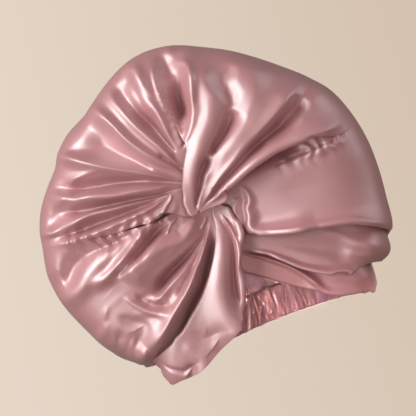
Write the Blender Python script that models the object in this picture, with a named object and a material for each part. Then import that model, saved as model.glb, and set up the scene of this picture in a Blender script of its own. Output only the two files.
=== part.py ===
"""Sleep bonnet: a full satin pouch whose front is twisted into one knot, open at the face, ruched at the nape.

Frame: millimetres in the tables, metres in the scene. The origin is the middle of the head opening at rim
level, +Z runs up the head, the twist faces -Y and +X is to the right of a viewer who faces the twist.
Angles of the tables turn about the knot in the front view: 0 is +X, 90 is up, 180 is -X, 270 is down.
Reach is the distance from the knot in that view; past the outline it goes on along the cloth of the back.
"""

import bpy
import numpy as np

# ---------------------------------------------------------------- driving sizes, mm
KNOT = (-2.0, -118.0, 115.0)      # the middle of the twist
KNOT_DIP = 9.0                    # how far the knot pulls the front in
KNOT_DIP_REACH = 26.0
FRONT_ROUNDNESS = 4.6             # 2 is an ellipse, more is flatter with a tighter turn at the outline
FRONT_DRAW = 0.045                # share by which the front is drawn in towards the knot
BACK_FULLNESS = 0.46              # how far the outline carries straight back, as a share of the way down
NAPE_FULLNESS = 0.33              # how far the pouch stands out over the nape, as a share of the way down
FAN_START = 0.45                  # share of the outline's reach from which all panels share their rows
RIM_HALF_WIDTH = 90.0             # the head opening
RIM_HALF_DEPTH = 98.0
WALL = 1.2                        # cloth with its lining
BAND_WALL = 1.4
SEAM_GAP = 0.3                   # each side of a seam
POUCH_OVER_BAND = 1.6             # the pouch sits outside the nape casing by this much
RUFFLE_PITCH = 8.6
RUFFLE_HEIGHT = 1.5
FOLD_SPREAD = 0.9                 # how much wider a fold is near the outline than at the knot
FOLD_RISE = 0.7                   # and how much higher
OVER_OUTLINE = 20.0               # how far a fold that reaches the outline goes on over it
DENT_DEEPEN = 2.0                 # how much deeper the hollows lie than their rows say
DENT_EASE = 2.0                   # and how much more gently their sides fall
DENT_LEAN = 0.6                   # share by which the low side of a hollow is deeper, the high side shallower
DENT_FALL = (0.36, -0.93)         # direction, x and z, of the low side
NAPE_PLEATS = 26
NAPE_PLEAT_HEIGHT = 2.6
FAN_ROWS = 8                      # rows of every panel from FAN_START to the outline

# ---------------------------------------------------------------- outline of the pouch
# angle, reach of the outline, depth y of the outline, where the path ends on the rim (0 right, 90 nape)
OUTLINE = (
    (-60.0, 150.0, -48.0, -2.0),
    (-51.0, 147.0, -46.0, 2.0),
    (-43.0, 141.0, -44.0, 7.0),
    (-38.0, 141.5, -42.0, 10.0),
    (-30.0, 141.5, -41.0, 15.0),
    (-20.0, 136.5, -39.0, 22.0),
    (-10.0, 134.0, -37.0, 30.0),
    (0.0, 133.0, -36.0, 38.0),
    (10.0, 132.0, -36.0, 45.0),
    (20.0, 131.0, -36.0, 52.0),
    (30.0, 127.0, -36.0, 58.0),
    (40.0, 123.5, -36.0, 64.0),
    (50.0, 122.5, -36.0, 70.0),
    (60.0, 124.0, -36.0, 76.0),
    (70.0, 126.5, -37.0, 82.0),
    (80.0, 131.0, -37.0, 87.0),
    (90.0, 133.0, -37.0, 92.0),
    (100.0, 130.5, -38.0, 97.0),
    (110.0, 126.0, -38.0, 103.0),
    (119.0, 123.0, -39.0, 109.0),
    (130.0, 127.0, -39.0, 117.0),
    (136.0, 127.5, -40.0, 121.0),
    (142.0, 126.5, -40.0, 125.0),
    (150.0, 130.0, -41.0, 131.0),
    (160.0, 135.0, -42.0, 138.0),
    (170.0, 136.0, -43.0, 145.0),
    (180.0, 139.0, -44.0, 152.0),
    (190.0, 138.0, -46.0, 158.0),
    (200.0, 136.5, -48.0, 164.0),
    (210.0, 136.5, -50.0, 169.0),
    (218.0, 134.0, -52.0, 173.0),
    (226.0, 133.0, -54.0, 177.0),
    (232.0, 147.0, -54.0, 180.0),
    (240.0, 151.0, -52.0, 180.0),
    (250.0, 156.0, -48.0, 180.0),
    (262.0, 160.0, -46.0, 180.0),
    (300.0, 160.0, -46.0, 180.0),
)

# the front band lies inside the pouch: angle, reach of its outline, depth y
BAND_OUTLINE = (
    (-100.0, 158.0, -46.0),
    (-85.0, 157.0, -46.0),
    (-70.0, 152.0, -46.0),
    (-58.0, 148.0, -46.0),
    (-51.0, 145.5, -46.0),
    (-42.6, 132.5, -46.0),
    (-36.0, 124.0, -46.0),
)

# free hem of the flap: angle, reach
FLAP_HEM = (
    (224.0, 129.0),
    (226.0, 131.5),
    (229.0, 134.5),
    (232.8, 143.0),
    (236.0, 138.5),
    (240.3, 132.5),
    (249.2, 113.0),
    (255.0, 103.5),
    (258.7, 98.5),
    (264.0, 95.0),
)

# rim loop: place round the rim, bottom z, top z of the nape casing
NAPE_LEVELS = (
    (8.0, 2.0, 27.0),
    (30.0, 4.0, 29.5),
    (60.0, 7.0, 33.0),
    (90.0, 9.0, 35.0),
    (120.0, 8.0, 33.0),
    (150.0, 4.0, 27.0),
    (180.0, 2.5, 20.0),
    (205.0, 5.0, 20.0),
)

# ---------------------------------------------------------------- edges of the pieces: reach, angle
LOBE_LEFT_EDGE = (
    (17.7, 181.4), (20.1, 167.0), (23.8, 143.0), (29.0, 124.0), (32.6, 114.5), (38.0, 105.0),
    (43.6, 97.6), (50.0, 91.5), (58.0, 90.2), (66.0, 89.5), (80.0, 89.0), (100.0, 88.5), (133.0, 88.0),
)
LOBE_RIGHT_EDGE = (
    (3.1, 9.0), (7.0, 1.0), (10.6, 0.0), (13.5, 0.0), (16.4, 13.0), (18.6, 28.0), (22.0, 30.5),
    (29.6, 27.0), (38.0, 24.5), (46.6, 21.8), (57.2, 19.0), (65.5, 17.4), (77.0, 14.5), (93.0, 10.8),
    (104.0, 7.6), (112.0, 6.0), (132.0, 6.0),
)
LEFT_TOP_EDGE = (
    (20.0, 100.0), (30.0, 91.0), (40.0, 88.0), (50.0, 88.5), (58.0, 90.2), (66.0, 89.5), (80.0, 89.0),
    (100.0, 88.5), (133.0, 88.0),
)
LEFT_SEAM = (
    (12.0, 170.0), (25.0, 168.5), (50.0, 170.0), (82.0, 170.8), (110.0, 170.0), (136.0, 169.0),
)
PLEATS_START = (
    (3.0, 150.0), (12.0, 156.0), (24.0, 160.5), (33.0, 165.0), (41.0, 169.2), (50.0, 170.2), (82.0, 170.8),
    (110.0, 170.0), (136.0, 169.0),
)
VALLEY_EDGE = (
    (2.0, 275.0), (12.0, 268.0), (25.0, 258.0), (40.0, 250.0), (60.0, 246.0), (75.0, 242.5),
    (90.0, 239.0), (105.0, 234.0), (118.0, 229.2), (133.0, 225.2),
)
FLAP_LEFT_EDGE = (
    (3.0, 240.0), (7.7, 254.0), (14.0, 256.0), (20.2, 253.0), (29.4, 249.9), (42.0, 246.6), (52.0, 243.8),
    (63.0, 240.5), (80.0, 237.0), (101.0, 233.2), (117.0, 229.3), (131.0, 226.0),
)
FLAP_RIGHT_EDGE = (
    (8.0, 352.0), (11.5, 344.0), (14.0, 328.0), (18.3, 313.6), (23.7, 304.0), (28.1, 297.3), (32.0, 292.6),
    (38.0, 285.3), (45.7, 278.2), (57.4, 270.8), (68.4, 266.7), (84.0, 262.7), (98.2, 260.2),
)
SIDE_TOP_EDGE = (
    (5.0, 26.0), (8.0, 30.0), (16.0, 34.0), (31.0, 35.0), (41.0, 31.5), (52.0, 27.0), (61.0, 24.5),
    (77.0, 19.0), (93.0, 13.5), (101.0, 9.0), (108.0, 6.2), (132.0, 6.0),
)
SIDE_LOW_EDGE = (
    (5.0, -4.0), (9.0, -8.0), (12.1, -17.0), (14.1, -34.8), (19.1, -47.5), (24.2, -55.4), (28.7, -60.2),
    (33.0, -62.2), (38.7, -57.5), (45.0, -51.0), (52.7, -45.3), (63.0, -40.5), (85.0, -33.3), (97.0, -31.4),
    (110.0, -30.0), (125.0, -30.5), (141.0, -31.0),
)
TUCK_TOP_EDGE = (
    (27.0, -80.0), (31.0, -66.0), (36.0, -56.0), (42.0, -47.0), (48.0, -40.0), (56.0, -34.5), (63.0, -31.0),
    (80.0, -26.5), (95.0, -24.5), (110.0, -24.5), (125.0, -26.0), (141.0, -27.0),
)
TUCK_HEM = (
    (36.0, -84.0), (40.0, -77.0), (47.0, -69.5), (54.0, -64.5), (68.0, -60.5), (83.0, -58.0), (95.0, -55.5),
    (105.5, -53.2), (123.0, -48.8), (131.0, -45.0), (141.0, -42.0),
)
BAND_TOP_EDGE = (
    (33.0, -92.0), (36.0, -82.0), (41.0, -72.0), (48.0, -63.0), (58.0, -57.5), (72.0, -54.0), (90.0, -50.5),
    (110.0, -46.5), (125.0, -43.5), (140.0, -42.0),
)
BAND_LOW_EDGE = (
    (46.0, -98.0), (51.0, -91.5), (57.0, -86.0), (63.0, -80.8), (72.6, -74.9), (84.0, -70.0), (97.0, -65.4),
    (110.0, -62.0), (122.0, -59.0), (134.0, -55.0), (145.6, -51.0),
)

# ---------------------------------------------------------------- folds of the cloth
# pieces it shapes, height, width on the anticlockwise side, width on the clockwise side, sharpness,
# then the run of the fold as (angle, reach). R upper lobe, L left crown, F pleats, P flap,
# S right side, U tuck, B front band
FOLDS = (
    # upper lobe, three pleats
    ("R", 6.0, 9.0, 8.0, 2.0, ((150, 17), (118, 22), (100, 30), (88, 38), (80, 46), (74, 57), (68, 70),
        (67, 85), (70, 102))),
    ("R", 3.5, 3.0, 4.0, 2.0, ((92, 50), (87, 57), (82, 64), (78, 71), (75, 78))),
    ("R", -8.0, 3.0, 3.2, 2.0, ((159, 14), (134, 15), (110, 18), (94, 23), (84, 29), (76, 35), (70, 42))),
    ("R", -8.0, 4.5, 8.0, 2.0, ((69, 42), (64, 50), (59, 60), (56, 70), (54, 80))),
    ("R", 2.5, 2.6, 4.0, 2.0, ((159, 13), (129, 14.5), (105, 18), (92, 23), (81, 28), (75, 33))),
    ("R", 5.0, 12.0, 9.0, 2.0, ((62, 30), (54, 44), (48, 60), (46, 76), (47, 92), (50, 110))),
    ("R", 5.5, 8.0, 2.6, 1.5, ((157, 11), (125, 9.3), (84, 11.6), (62, 18), (49, 26), (42.4, 34.5),
        (38, 44), (36, 57), (34, 72), (32, 86), (31, 101))),
    ("R", -7.5, 2.4, 3.4, 2.0, ((145, 8.7), (111, 7.7), (80, 10), (61, 15), (50, 21), (43.8, 26.7),
        (39, 33), (36, 40), (33.7, 49), (31.5, 60), (30, 70))),
    ("R", -6.0, 5.0, 7.0, 2.0, ((31, 54), (29, 64), (27, 74), (26, 85), (26.5, 94))),
    ("R", 5.5, 6.0, 3.0, 1.6, ((162, 8), (130, 5.4), (77, 5.6), (43, 11.3), (37, 15.5), (32, 21),
        (28.5, 28), (26.5, 37), (23.5, 47), (21, 57), (19, 68), (16, 80), (12.5, 95), (10, 108))),
    ("R", -3.0, 12.0, 12.0, 2.0, ((63, 88), (66, 104), (68, 118))),
    ("R", 3.0, 7.0, 8.0, 2.0, ((20, 92), (22, 106), (23, 122))),
    # dip beside the top seam, and its lip
    ("RL", -8.5, 7.0, 7.0, 2.2, ((87, 60), (85.5, 72), (84, 86), (83, 102), (82.5, 112))),
    ("R", 3.0, 4.0, 4.0, 2.0, ((80, 68), (77.5, 84), (75.5, 100), (76.5, 114), (81, 122))),
    ("RL", 2.5, 3.5, 3.5, 2.0, ((89, 120), (90.5, 108), (91, 92), (91, 80))),
    # left crown
    ("L", 5.0, 5.0, 4.5, 2.0, ((98, 58), (97, 70), (96, 84), (96, 100), (95.5, 118))),
    ("L", -2.5, 4.5, 4.5, 2.0, ((100.5, 92), (100, 100), (99.5, 110))),
    ("L", -5.0, 6.0, 5.0, 2.0, ((101, 52), (101.5, 64), (103, 80), (104.5, 96), (105, 112))),
    ("L", 5.5, 4.0, 5.0, 2.0, ((104, 40), (106, 49), (106.5, 62), (108, 78), (108.5, 94), (107.5, 112))),
    ("L", -3.5, 1.8, 1.8, 2.0, ((103, 37), (106.5, 43), (109, 50), (111.5, 60))),
    ("L", 6.5, 4.5, 3.6, 1.8, ((106, 36), (109.6, 43), (112.5, 50), (115, 58), (116.5, 68), (117.3, 86),
        (116.5, 99), (116.2, 114))),
    ("L", 6.5, 3.0, 3.6, 1.7, ((115, 32.5), (121, 40), (124.5, 47), (128.5, 57), (132, 70), (135, 86),
        (136.5, 104), (137, 120))),
    ("L", 3.0, 3.0, 3.0, 2.0, ((137, 90), (140, 100), (143.5, 109), (147, 118))),
    ("L", -7.0, 3.0, 3.0, 2.0, ((118.5, 31), (123, 36), (129, 45), (133, 54), (138, 68), (142, 84),
        (145.5, 98), (148, 112))),
    ("L", 6.0, 3.0, 3.6, 2.0, ((122, 29.5), (125.5, 34.5), (131, 40), (136.5, 46), (140.5, 53), (145, 64),
        (149, 77), (151, 94), (152, 110))),
    ("L", -8.0, 2.2, 2.2, 2.0, ((125.5, 29.5), (132, 33), (138.5, 38), (144, 45), (148, 54), (151.5, 66),
        (154, 80), (157, 104))),
    ("L", 4.5, 2.0, 2.2, 1.8, ((127, 30), (136, 35), (142, 40), (147.5, 49), (151.5, 60), (156.5, 76.5),
        (159, 95), (164, 115), (165, 127))),
    ("L", -6.5, 2.6, 3.0, 2.0, ((140, 36), (147, 43), (152.5, 50), (157.5, 60), (160.5, 70), (164, 90),
        (166, 111))),
    ("LF", 4.0, 2.4, 2.6, 2.0, ((142, 36), (149, 41), (155, 46), (161, 58), (165.5, 76), (168, 92),
        (169, 108))),
    ("LF", 3.5, 2.0, 2.2, 2.0, ((138, 33), (146, 33.5), (155, 36.5), (164, 39.5))),
    ("L", -4.0, 8.0, 8.0, 2.0, ((156, 112), (158, 122), (160, 130))),
    ("L", -3.0, 6.0, 6.0, 2.0, ((133, 112), (134.5, 120), (136, 127))),
    # folds that cross the left seam towards the lower left
    ("LF", 4.5, 3.2, 3.0, 2.0, ((156, 36), (163, 43), (170, 52), (178, 62), (184, 75), (189, 95))),
    ("F", -4.5, 4.5, 4.5, 2.0, ((172, 40), (180, 50), (186, 62), (190, 74))),
    ("F", 3.0, 2.0, 2.0, 2.0, ((170, 27), (174, 30), (178, 35), (186, 41))),
    ("LF", -3.0, 4.0, 4.0, 2.0, ((167, 52), (172, 64), (176, 78), (178, 90))),
    ("F", 4.5, 6.0, 6.0, 2.0, ((176, 66), (179, 80), (182, 96), (185, 112), (187.5, 127))),
    ("F", -5.0, 10.0, 9.0, 2.0, ((177, 108), (180, 119), (183, 128))),
    # pleats of the lower lobe
    ("F", 8.0, 8.0, 7.0, 2.0, ((190, 10), (196, 18), (202, 27), (203, 34), (198, 42), (194, 52),
        (192, 64), (192, 78), (194, 92))),
    ("F", 3.0, 8.0, 6.0, 2.0, ((207, 42), (203, 56), (201, 70), (200, 86))),
    ("F", -7.5, 5.0, 3.4, 2.0, ((224, 8), (229, 13), (229, 19), (226.5, 25), (222.5, 34), (219, 43),
        (215, 53), (212, 66), (212, 82))),
    ("F", 3.0, 1.8, 1.8, 2.0, ((214, 7), (219, 11), (218.5, 17))),
    ("F", 5.0, 2.6, 2.4, 1.8, ((230, 20), (227, 26), (224.5, 33), (223, 44), (221, 55), (217.3, 69.5),
        (215.5, 82), (211, 87))),
    ("F", -6.0, 2.4, 2.6, 2.0, ((234, 22), (231, 33), (229.5, 43), (227.5, 52), (226, 66), (225, 76))),
    ("F", -4.0, 4.0, 4.0, 2.0, ((204, 90), (211, 91), (218, 88), (223, 83))),
    ("F", 3.5, 3.5, 3.5, 2.0, ((201, 98), (208, 97), (215, 95), (221, 91), (225, 87))),
    ("F", 8.0, 3.0, 4.0, 1.8, ((237, 11), (235, 18), (234.3, 27), (233.2, 37), (231, 48), (230, 63),
        (228, 82), (225.6, 107), (224.6, 124), (222, 132))),
    ("F", -13.0, 12.0, 4.5, 2.0, ((246, 10), (248, 17), (246.5, 26), (244.5, 38), (242, 50), (240, 63),
        (235.5, 80), (232.6, 97), (229.6, 113), (226.5, 131))),
    ("F", -3.5, 5.0, 5.0, 2.0, ((205, 112), (211, 109), (217, 106))),
    ("F", 3.0, 4.0, 4.0, 2.0, ((208, 102), (214, 101), (219, 104), (221, 112))),
    ("F", 3.0, 4.0, 4.0, 2.0, ((199, 112), (202, 122), (205, 130))),
    ("F", 3.0, 3.2, 3.2, 2.0, ((215, 116), (216, 126), (217, 133))),
    ("F", -2.5, 4.0, 4.0, 2.0, ((210, 120), (211, 128), (212, 133))),
    # flap
    ("P", 5.0, 8.0, 9.0, 2.0, ((266, 14), (263, 24), (258, 36), (253.5, 50), (251, 66), (253, 82),
        (257, 96))),
    ("P", -6.0, 2.4, 2.6, 2.0, ((284, 9), (281, 16), (278.5, 25), (273, 33), (268.5, 42), (263.6, 55),
        (261, 70), (260.5, 84))),
    ("P", 3.5, 2.0, 2.0, 2.0, ((300, 8), (293, 14), (289, 21), (286, 27), (280, 36), (273, 46), (268, 56))),
    ("P", -4.0, 1.6, 1.8, 2.0, ((302, 12), (294, 19), (289, 26), (285.5, 31))),
    ("P", 3.0, 2.4, 2.4, 2.0, ((308, 17), (299, 24), (292, 29), (286.5, 35), (281, 41), (275, 49))),
    ("P", -2.5, 8.0, 8.0, 2.0, ((236, 98), (243, 104), (250, 102))),
    ("P", 2.5, 7.0, 7.0, 2.0, ((234, 108), (239, 116), (243, 122))),
    ("P", -3.0, 2.6, 2.6, 2.0, ((227, 128), (231, 131), (236, 131), (239, 128))),
    # right side
    ("S", 4.5, 4.0, 3.0, 2.0, ((17, 25), (7, 27.5), (-3, 29), (-14, 29), (-25, 27), (-36, 29.4),
        (-48, 31.6), (-52, 37), (-47, 46), (-41, 58))),
    ("S", -3.5, 3.0, 3.0, 2.0, ((8, 21), (-8, 23), (-26, 22), (-42, 25), (-52, 28))),
    ("S", 3.0, 2.4, 3.0, 2.0, ((2, 18), (-10, 18), (-22, 16), (-42, 18))),
    ("S", -9.0, 9.0, 7.0, 2.0, ((36, 14), (33, 30), (27, 45), (22, 60), (16.5, 78), (11.5, 94), (8, 104))),
    ("S", 3.0, 4.0, 5.0, 2.0, ((-50, 46), (-42, 58), (-36, 74), (-31.5, 90), (-29, 105), (-28, 134))),
    ("RS", 2.0, 4.0, 4.0, 2.0, ((6, 72), (5, 84), (4, 98))),
    ("S", -2.0, 14.0, 14.0, 2.0, ((-8, 52), (-12, 72), (-14, 92))),
    # tuck under the right side, and the front band
    ("U", 2.5, 6.0, 6.0, 2.0, ((-36, 90), (-36, 104), (-38, 118))),
    ("U", -2.0, 6.0, 6.0, 2.0, ((-52, 60), (-47, 78), (-43, 98))),
    ("U", 2.0, 4.0, 4.0, 2.0, ((-42, 112), (-42, 122), (-41, 132))),
    ("B", 2.0, 3.0, 2.0, 2.0, ((-77.6, 44.6), (-71, 52), (-65, 64), (-60.8, 80), (-60, 94))),
    ("B", -2.0, 6.0, 6.0, 2.0, ((-60, 104), (-57, 116), (-53, 130))),
)

# ---------------------------------------------------------------- hollows between the folds
# piece, depth, how far in it deepens, the loop round it as (angle, reach)
DENTS = (
    ("L", 12, 8, ((108.6, 122.2), (103.4, 124.5), (98.3, 124.8), (95.4, 124.6), (96.5, 119.6), (99.2,
        114.6), (100.9, 108.2), (100.9, 101.7), (99.4, 94.9), (97, 87.6), (96.4, 80.8), (96.9, 71.5),
        (97.5, 61.8), (98, 54), (101.3, 53.2), (105.5, 62.5), (107.6, 73.3), (108.4, 84.6), (108.7,
        96.4), (109.4, 107.4), (109.9, 117.5))),
    ("L", 4.5, 4, ((95.1, 112.5), (94.3, 107.6), (93.8, 101.7), (93.4, 95.3), (94.3, 91.4), (96.8, 95),
        (98.6, 100.4), (99, 105.9), (97.8, 110.1))),
    ("L", 16.5, 12, ((135.4, 123.8), (132, 122), (128.2, 117), (124.9, 117.3), (122.1, 117.5), (119.9,
        114.5), (116.6, 108.1), (116.4, 98.1), (117.6, 86.3), (119.6, 73.6), (123, 56), (126, 52),
        (128.2, 67), (131.8, 79.6), (133.7, 90.3), (134.6, 99.3), (135.3, 109.5), (136.1, 119.5))),
    ("L", 12, 7, ((133.3, 64.2), (138.3, 81.4), (141.6, 95.5), (144.2, 106.7), (147.5, 113.6), (151.2,
        116.8), (154.6, 118.4), (155.8, 113.4), (153.9, 103.5), (150.8, 97.9), (148.3, 88.3), (145.4,
        74.9), (139.3, 61.9), (130, 54))),
    ("L", 6, 2.5, ((149.9, 59.6), (153, 72.7), (156.1, 87.5), (157.5, 99.5), (158.1, 112.5), (157,
        117.4), (156.6, 111.4), (155.5, 99.5), (153.5, 87.6), (150.6, 72.9), (146.6, 60.1))),
    ("L", 12, 8, ((156.1, 124.3), (157, 117.4), (158.6, 110.5), (161, 114.8), (163.5, 122.4), (165,
        127.9), (163.9, 131.1), (160.8, 131.3), (158.3, 129.4))),
    ("L", 7.5, 4, ((166.4, 111.2), (164, 108.5), (161.2, 100.9), (159.3, 89.7), (157.6, 77.6), (153.7,
        59.3), (149.5, 50), (158, 59.3), (162.4, 73.1), (164.7, 86.5), (166.5, 99.1), (168, 105.8),
        (169, 107.6))),
    ("R", 16.5, 7, ((78, 116.4), (76.2, 112.7), (75.9, 105.9), (76.8, 97.1), (77.7, 88.2), (78, 79.2),
        (80.8, 73.9), (84, 74.5), (87.7, 68.6), (88.7, 70.4), (88.8, 79.5), (88.5, 88.3), (88, 99.6),
        (86.8, 105.2), (83.6, 109.5), (80.4, 114.5))),
    ("R", 7.5, 12, ((68.5, 109.6), (63.9, 114.8), (58, 115.9), (54.7, 109.4), (55, 100.2), (51.7, 92.3),
        (51.6, 83), (55.3, 78.8), (60.5, 82.3), (65.2, 87.9), (68.9, 94), (69.9, 101.6))),
    ("R", 9, 4, ((54.8, 75.2), (51.9, 72.2), (51, 65.5), (52.6, 56.6), (57.5, 48.9), (65.3, 40.9),
        (69.1, 46.9), (62.5, 56.7), (58.6, 67.6))),
    ("R", 12, 5, ((29.2, 100.4), (26, 94.2), (23.9, 86.3), (24.5, 78.5), (26.4, 68.6), (30, 57.9),
        (33.5, 46.7), (36.4, 47.9), (34.1, 58.7), (32.4, 72.4), (31.3, 86), (30.3, 95.4))),
    ("F", 15, 12, ((172.3, 125.2), (174.8, 129), (178, 131.8), (181.8, 132.1), (185.4, 130.1), (185.6,
        125.9), (183.6, 117.2), (181, 107.6), (179, 98.1), (177.9, 87.9), (176.3, 78.5), (173.8, 73.1),
        (173, 82), (173.2, 92), (172.4, 101.6), (171.6, 109.3), (172.1, 118))),
    ("F", 9, 4, ((189.9, 94.4), (188.4, 90.9), (186.2, 82.4), (183.9, 71.6), (180.9, 62.7), (176.7,
        56.6), (172.6, 47.7), (171.6, 40), (173, 36), (183.5, 39.9), (187.5, 49), (190, 60), (192,
        69.3), (193.1, 79.3), (193.5, 87.8), (192.7, 92.8))),
    ("F", 10.5, 5, ((212.9, 83.8), (209.8, 76.1), (208.4, 68.5), (208.6, 58.3), (210.4, 47.1), (215.5,
        35.2), (221.9, 35), (219.9, 49.8), (217.2, 61.9), (215, 73.5), (214, 81.8))),
    ("F", 7.5, 4, ((206.3, 95.3), (205.7, 87.9), (207.9, 83.1), (211.9, 85.7), (215, 87.4), (219.2,
        83.9), (223.1, 78.8), (224.4, 70.3), (225.2, 61.5), (226.4, 67.7), (225.8, 77.3), (224.8, 82.5),
        (220.8, 86.8), (215.6, 90.5), (211.1, 92.4))),
    ("F", 7.5, 5, ((204.6, 112.6), (206, 108.3), (209.7, 106.8), (212.9, 105.6), (217, 105.7), (216.7,
        109.7), (213.5, 113.4), (210.1, 116.1), (207, 115.8))),
    ("F", 7.5, 5, ((207.4, 124.4), (208, 119.4), (210.4, 119.6), (212.5, 123.3), (212.9, 128.3), (213,
        131), (211, 129.4), (208.9, 127.9))),
    ("F", 3.8, 3, ((200.4, 121.9), (201.5, 118.5), (203.5, 120.1), (204.2, 126.1), (202.6, 126.2))),
    ("F", 4.5, 3, ((211.7, 99.4), (214.4, 95), (219.5, 93.5), (220.1, 97.5), (216.7, 101.5), (213.7,
        101.9))),
    ("F", 6, 3, ((221.9, 125.7), (222.2, 119.3), (223.9, 111), (224.8, 107.7), (224.7, 112.9), (223.3,
        122.6))),
)

# how deep each piece lies under the plain form: letter, near the knot, further out, from reach, to reach
LAYERS = (
    ("R", -6.0, 0.0, 42.0, 80.0),
    ("L", 2.0, 0.0, 34.0, 66.0),
    ("F", 5.5, 0.0, 34.0, 66.0),
    ("P", 2.6, 1.5, 10.0, 60.0),
    ("S", 6.5, 0.0, 30.0, 105.0),
    ("U", 11.5, 6.0, 52.0, 141.0),
    ("B", 18.8, 4.5, 90.0, 140.0),
)

# how the cloth rolls under at an edge, by kind: reach, radius, turn
ROLLS = {
    "seam": ((0.0, 1.6, 35.0), (133.0, 1.6, 35.0)),
    "plain": ((0.0, 1.6, 18.0), (133.0, 1.6, 18.0)),
    "hem": ((0.0, 1.8, 105.0), (133.0, 1.8, 105.0)),
    "fold": ((0.0, 1.2, 60.0), (8.0, 1.4, 80.0), (22.0, 2.6, 140.0), (80.0, 2.6, 140.0), (133.0, 2.2, 140.0)),
    "lobe_left": ((0.0, 1.2, 60.0), (16.0, 2.4, 120.0), (48.0, 2.6, 130.0), (62.0, 1.6, 35.0), (133.0, 1.6, 35.0)),
    "lobe_right": (
        (0.0, 1.2, 40.0), (16.0, 1.4, 50.0), (28.0, 3.0, 140.0), (88.0, 3.2, 145.0), (106.0, 1.6, 35.0),
        (133.0, 1.6, 35.0),
    ),
}

# ---------------------------------------------------------------- colours
ROSE = (0.50, 0.235, 0.245, 1.0)
ROSE_DEEP = (0.44, 0.20, 0.21, 1.0)

# name, letter, first edge, second edge, pole of the pleats (x, z from the knot), reach where its pull ends,
# first reach at each edge, columns, rows up to FAN_START, rows behind the outline, the kind of each edge
PANELS = (

        ("crown_left", "L", LEFT_TOP_EDGE, LEFT_SEAM, (-5.0, 19.0), 70.0, (14.0, 14.0), 22, 5, 7, "seam", "seam"),
    ("crown_right", "R", LOBE_RIGHT_EDGE, LOBE_LEFT_EDGE, (-12.6, 1.3), 60.0, (1.4, 1.4), 22, 7, 8,
     "lobe_right", "lobe_left"),

        ("lower_pleats", "F", PLEATS_START, VALLEY_EDGE, (3.5, 4.5), 40.0, (3.0, 3.0), 20, 6, 8, "seam", "plain"),
    ("flap", "P", FLAP_LEFT_EDGE, FLAP_RIGHT_EDGE, (4.5, 5.5), 40.0, (4.0, 4.0), 11, 7, 0, "fold", "fold"),

        ("side_right", "S", SIDE_LOW_EDGE, SIDE_TOP_EDGE, (0.0, 0.0), 60.0, (6.0, 6.0), 8, 6, 8, "fold", "seam"),
    ("side_tuck", "U", TUCK_HEM, TUCK_TOP_EDGE, (0.0, 0.0), 60.0, (36.0, 27.0), 4, 3, 5, "hem", "plain"),

        ("front_band", "B", BAND_LOW_EDGE, BAND_TOP_EDGE, (0.0, 0.0), 60.0, (46.0, 33.0), 3, 3, 3, "hem", "plain"),
)


def smoothRow(table, column, at):
    """The column of the table at each place, along a smooth curve through its rows."""
    xs = np.array([row[0] for row in table], float)
    ys = np.array([row[column] for row in table], float)
    slopes = np.gradient(ys, xs)
    at = np.clip(at, xs[0], xs[-1])
    index = np.clip(np.searchsorted(xs, at) - 1, 0, len(xs) - 2)
    width = xs[index + 1] - xs[index]
    t = (at - xs[index]) / width
    low = (1 + 2 * t) * (1 - t) ** 2 * ys[index] + t * (1 - t) ** 2 * width * slopes[index]
    high = t * t * (3 - 2 * t) * ys[index + 1] + t * t * (t - 1) * width * slopes[index + 1]
    return low + high


def ease(value, low, high):
    """0 below low, 1 above high, a soft step between."""
    t = np.clip((value - low) / (high - low), 0.0, 1.0)
    return t * t * (3 - 2 * t)


def unit(vectors):
    """Each vector at length one."""
    return vectors / np.maximum(np.linalg.norm(vectors, axis=-1, keepdims=True), 1e-9)


def foldHeight(letter, x, z):
    """The height of the folds of this piece over its plain form, at places of the flattened front view."""
    total = np.zeros_like(x)
    for pieces, height, widthCcw, widthCw, sharp, run in FOLDS:
        if letter not in pieces:
            continue
        if run[-1][1] > 92.0:
            run = run + ((run[-1][0], run[-1][1] + OVER_OUTLINE),)
        angles = np.radians([stop[0] for stop in run])
        reaches = np.array([stop[1] for stop in run], float)
        px, pz = reaches * np.cos(angles), reaches * np.sin(angles)
        legs = np.hypot(np.diff(px), np.diff(pz))
        start = np.concatenate([[0.0], np.cumsum(legs)])
        best = np.full(x.shape, 1e9)
        side = np.zeros_like(x)
        along = np.zeros_like(x)
        for leg in range(len(legs)):
            dx, dz = px[leg + 1] - px[leg], pz[leg + 1] - pz[leg]
            raw = ((x - px[leg]) * dx + (z - pz[leg]) * dz) / legs[leg] ** 2
            t = np.clip(raw, 0.0, 1.0)
            ox, oz = x - px[leg] - t * dx, z - pz[leg] - t * dz
            distance = np.hypot(ox, oz)
            nearer = distance < best
            best = np.where(nearer, distance, best)
            side = np.where(nearer, dx * oz - dz * ox, side)
            along = np.where(nearer, start[leg] + t * legs[leg], along)
        width = np.where(side > 0, widthCcw, widthCw)
        narrow = 0.45 + 0.55 * ease(along, 0.0, 34.0)
        spread = narrow + FOLD_SPREAD * ease(along, 28.0, 105.0)
        rise = narrow * (1 + FOLD_RISE * ease(along, 28.0, 95.0))
        length = start[-1]
        taper = ease(along, -0.04 * length, 0.16 * length) * (1 - 0.9 * ease(along, 0.82 * length, 1.02 * length))
        total += height * rise * taper * np.exp(-np.abs(best / (width * spread)) ** sharp)
    return total


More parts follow.
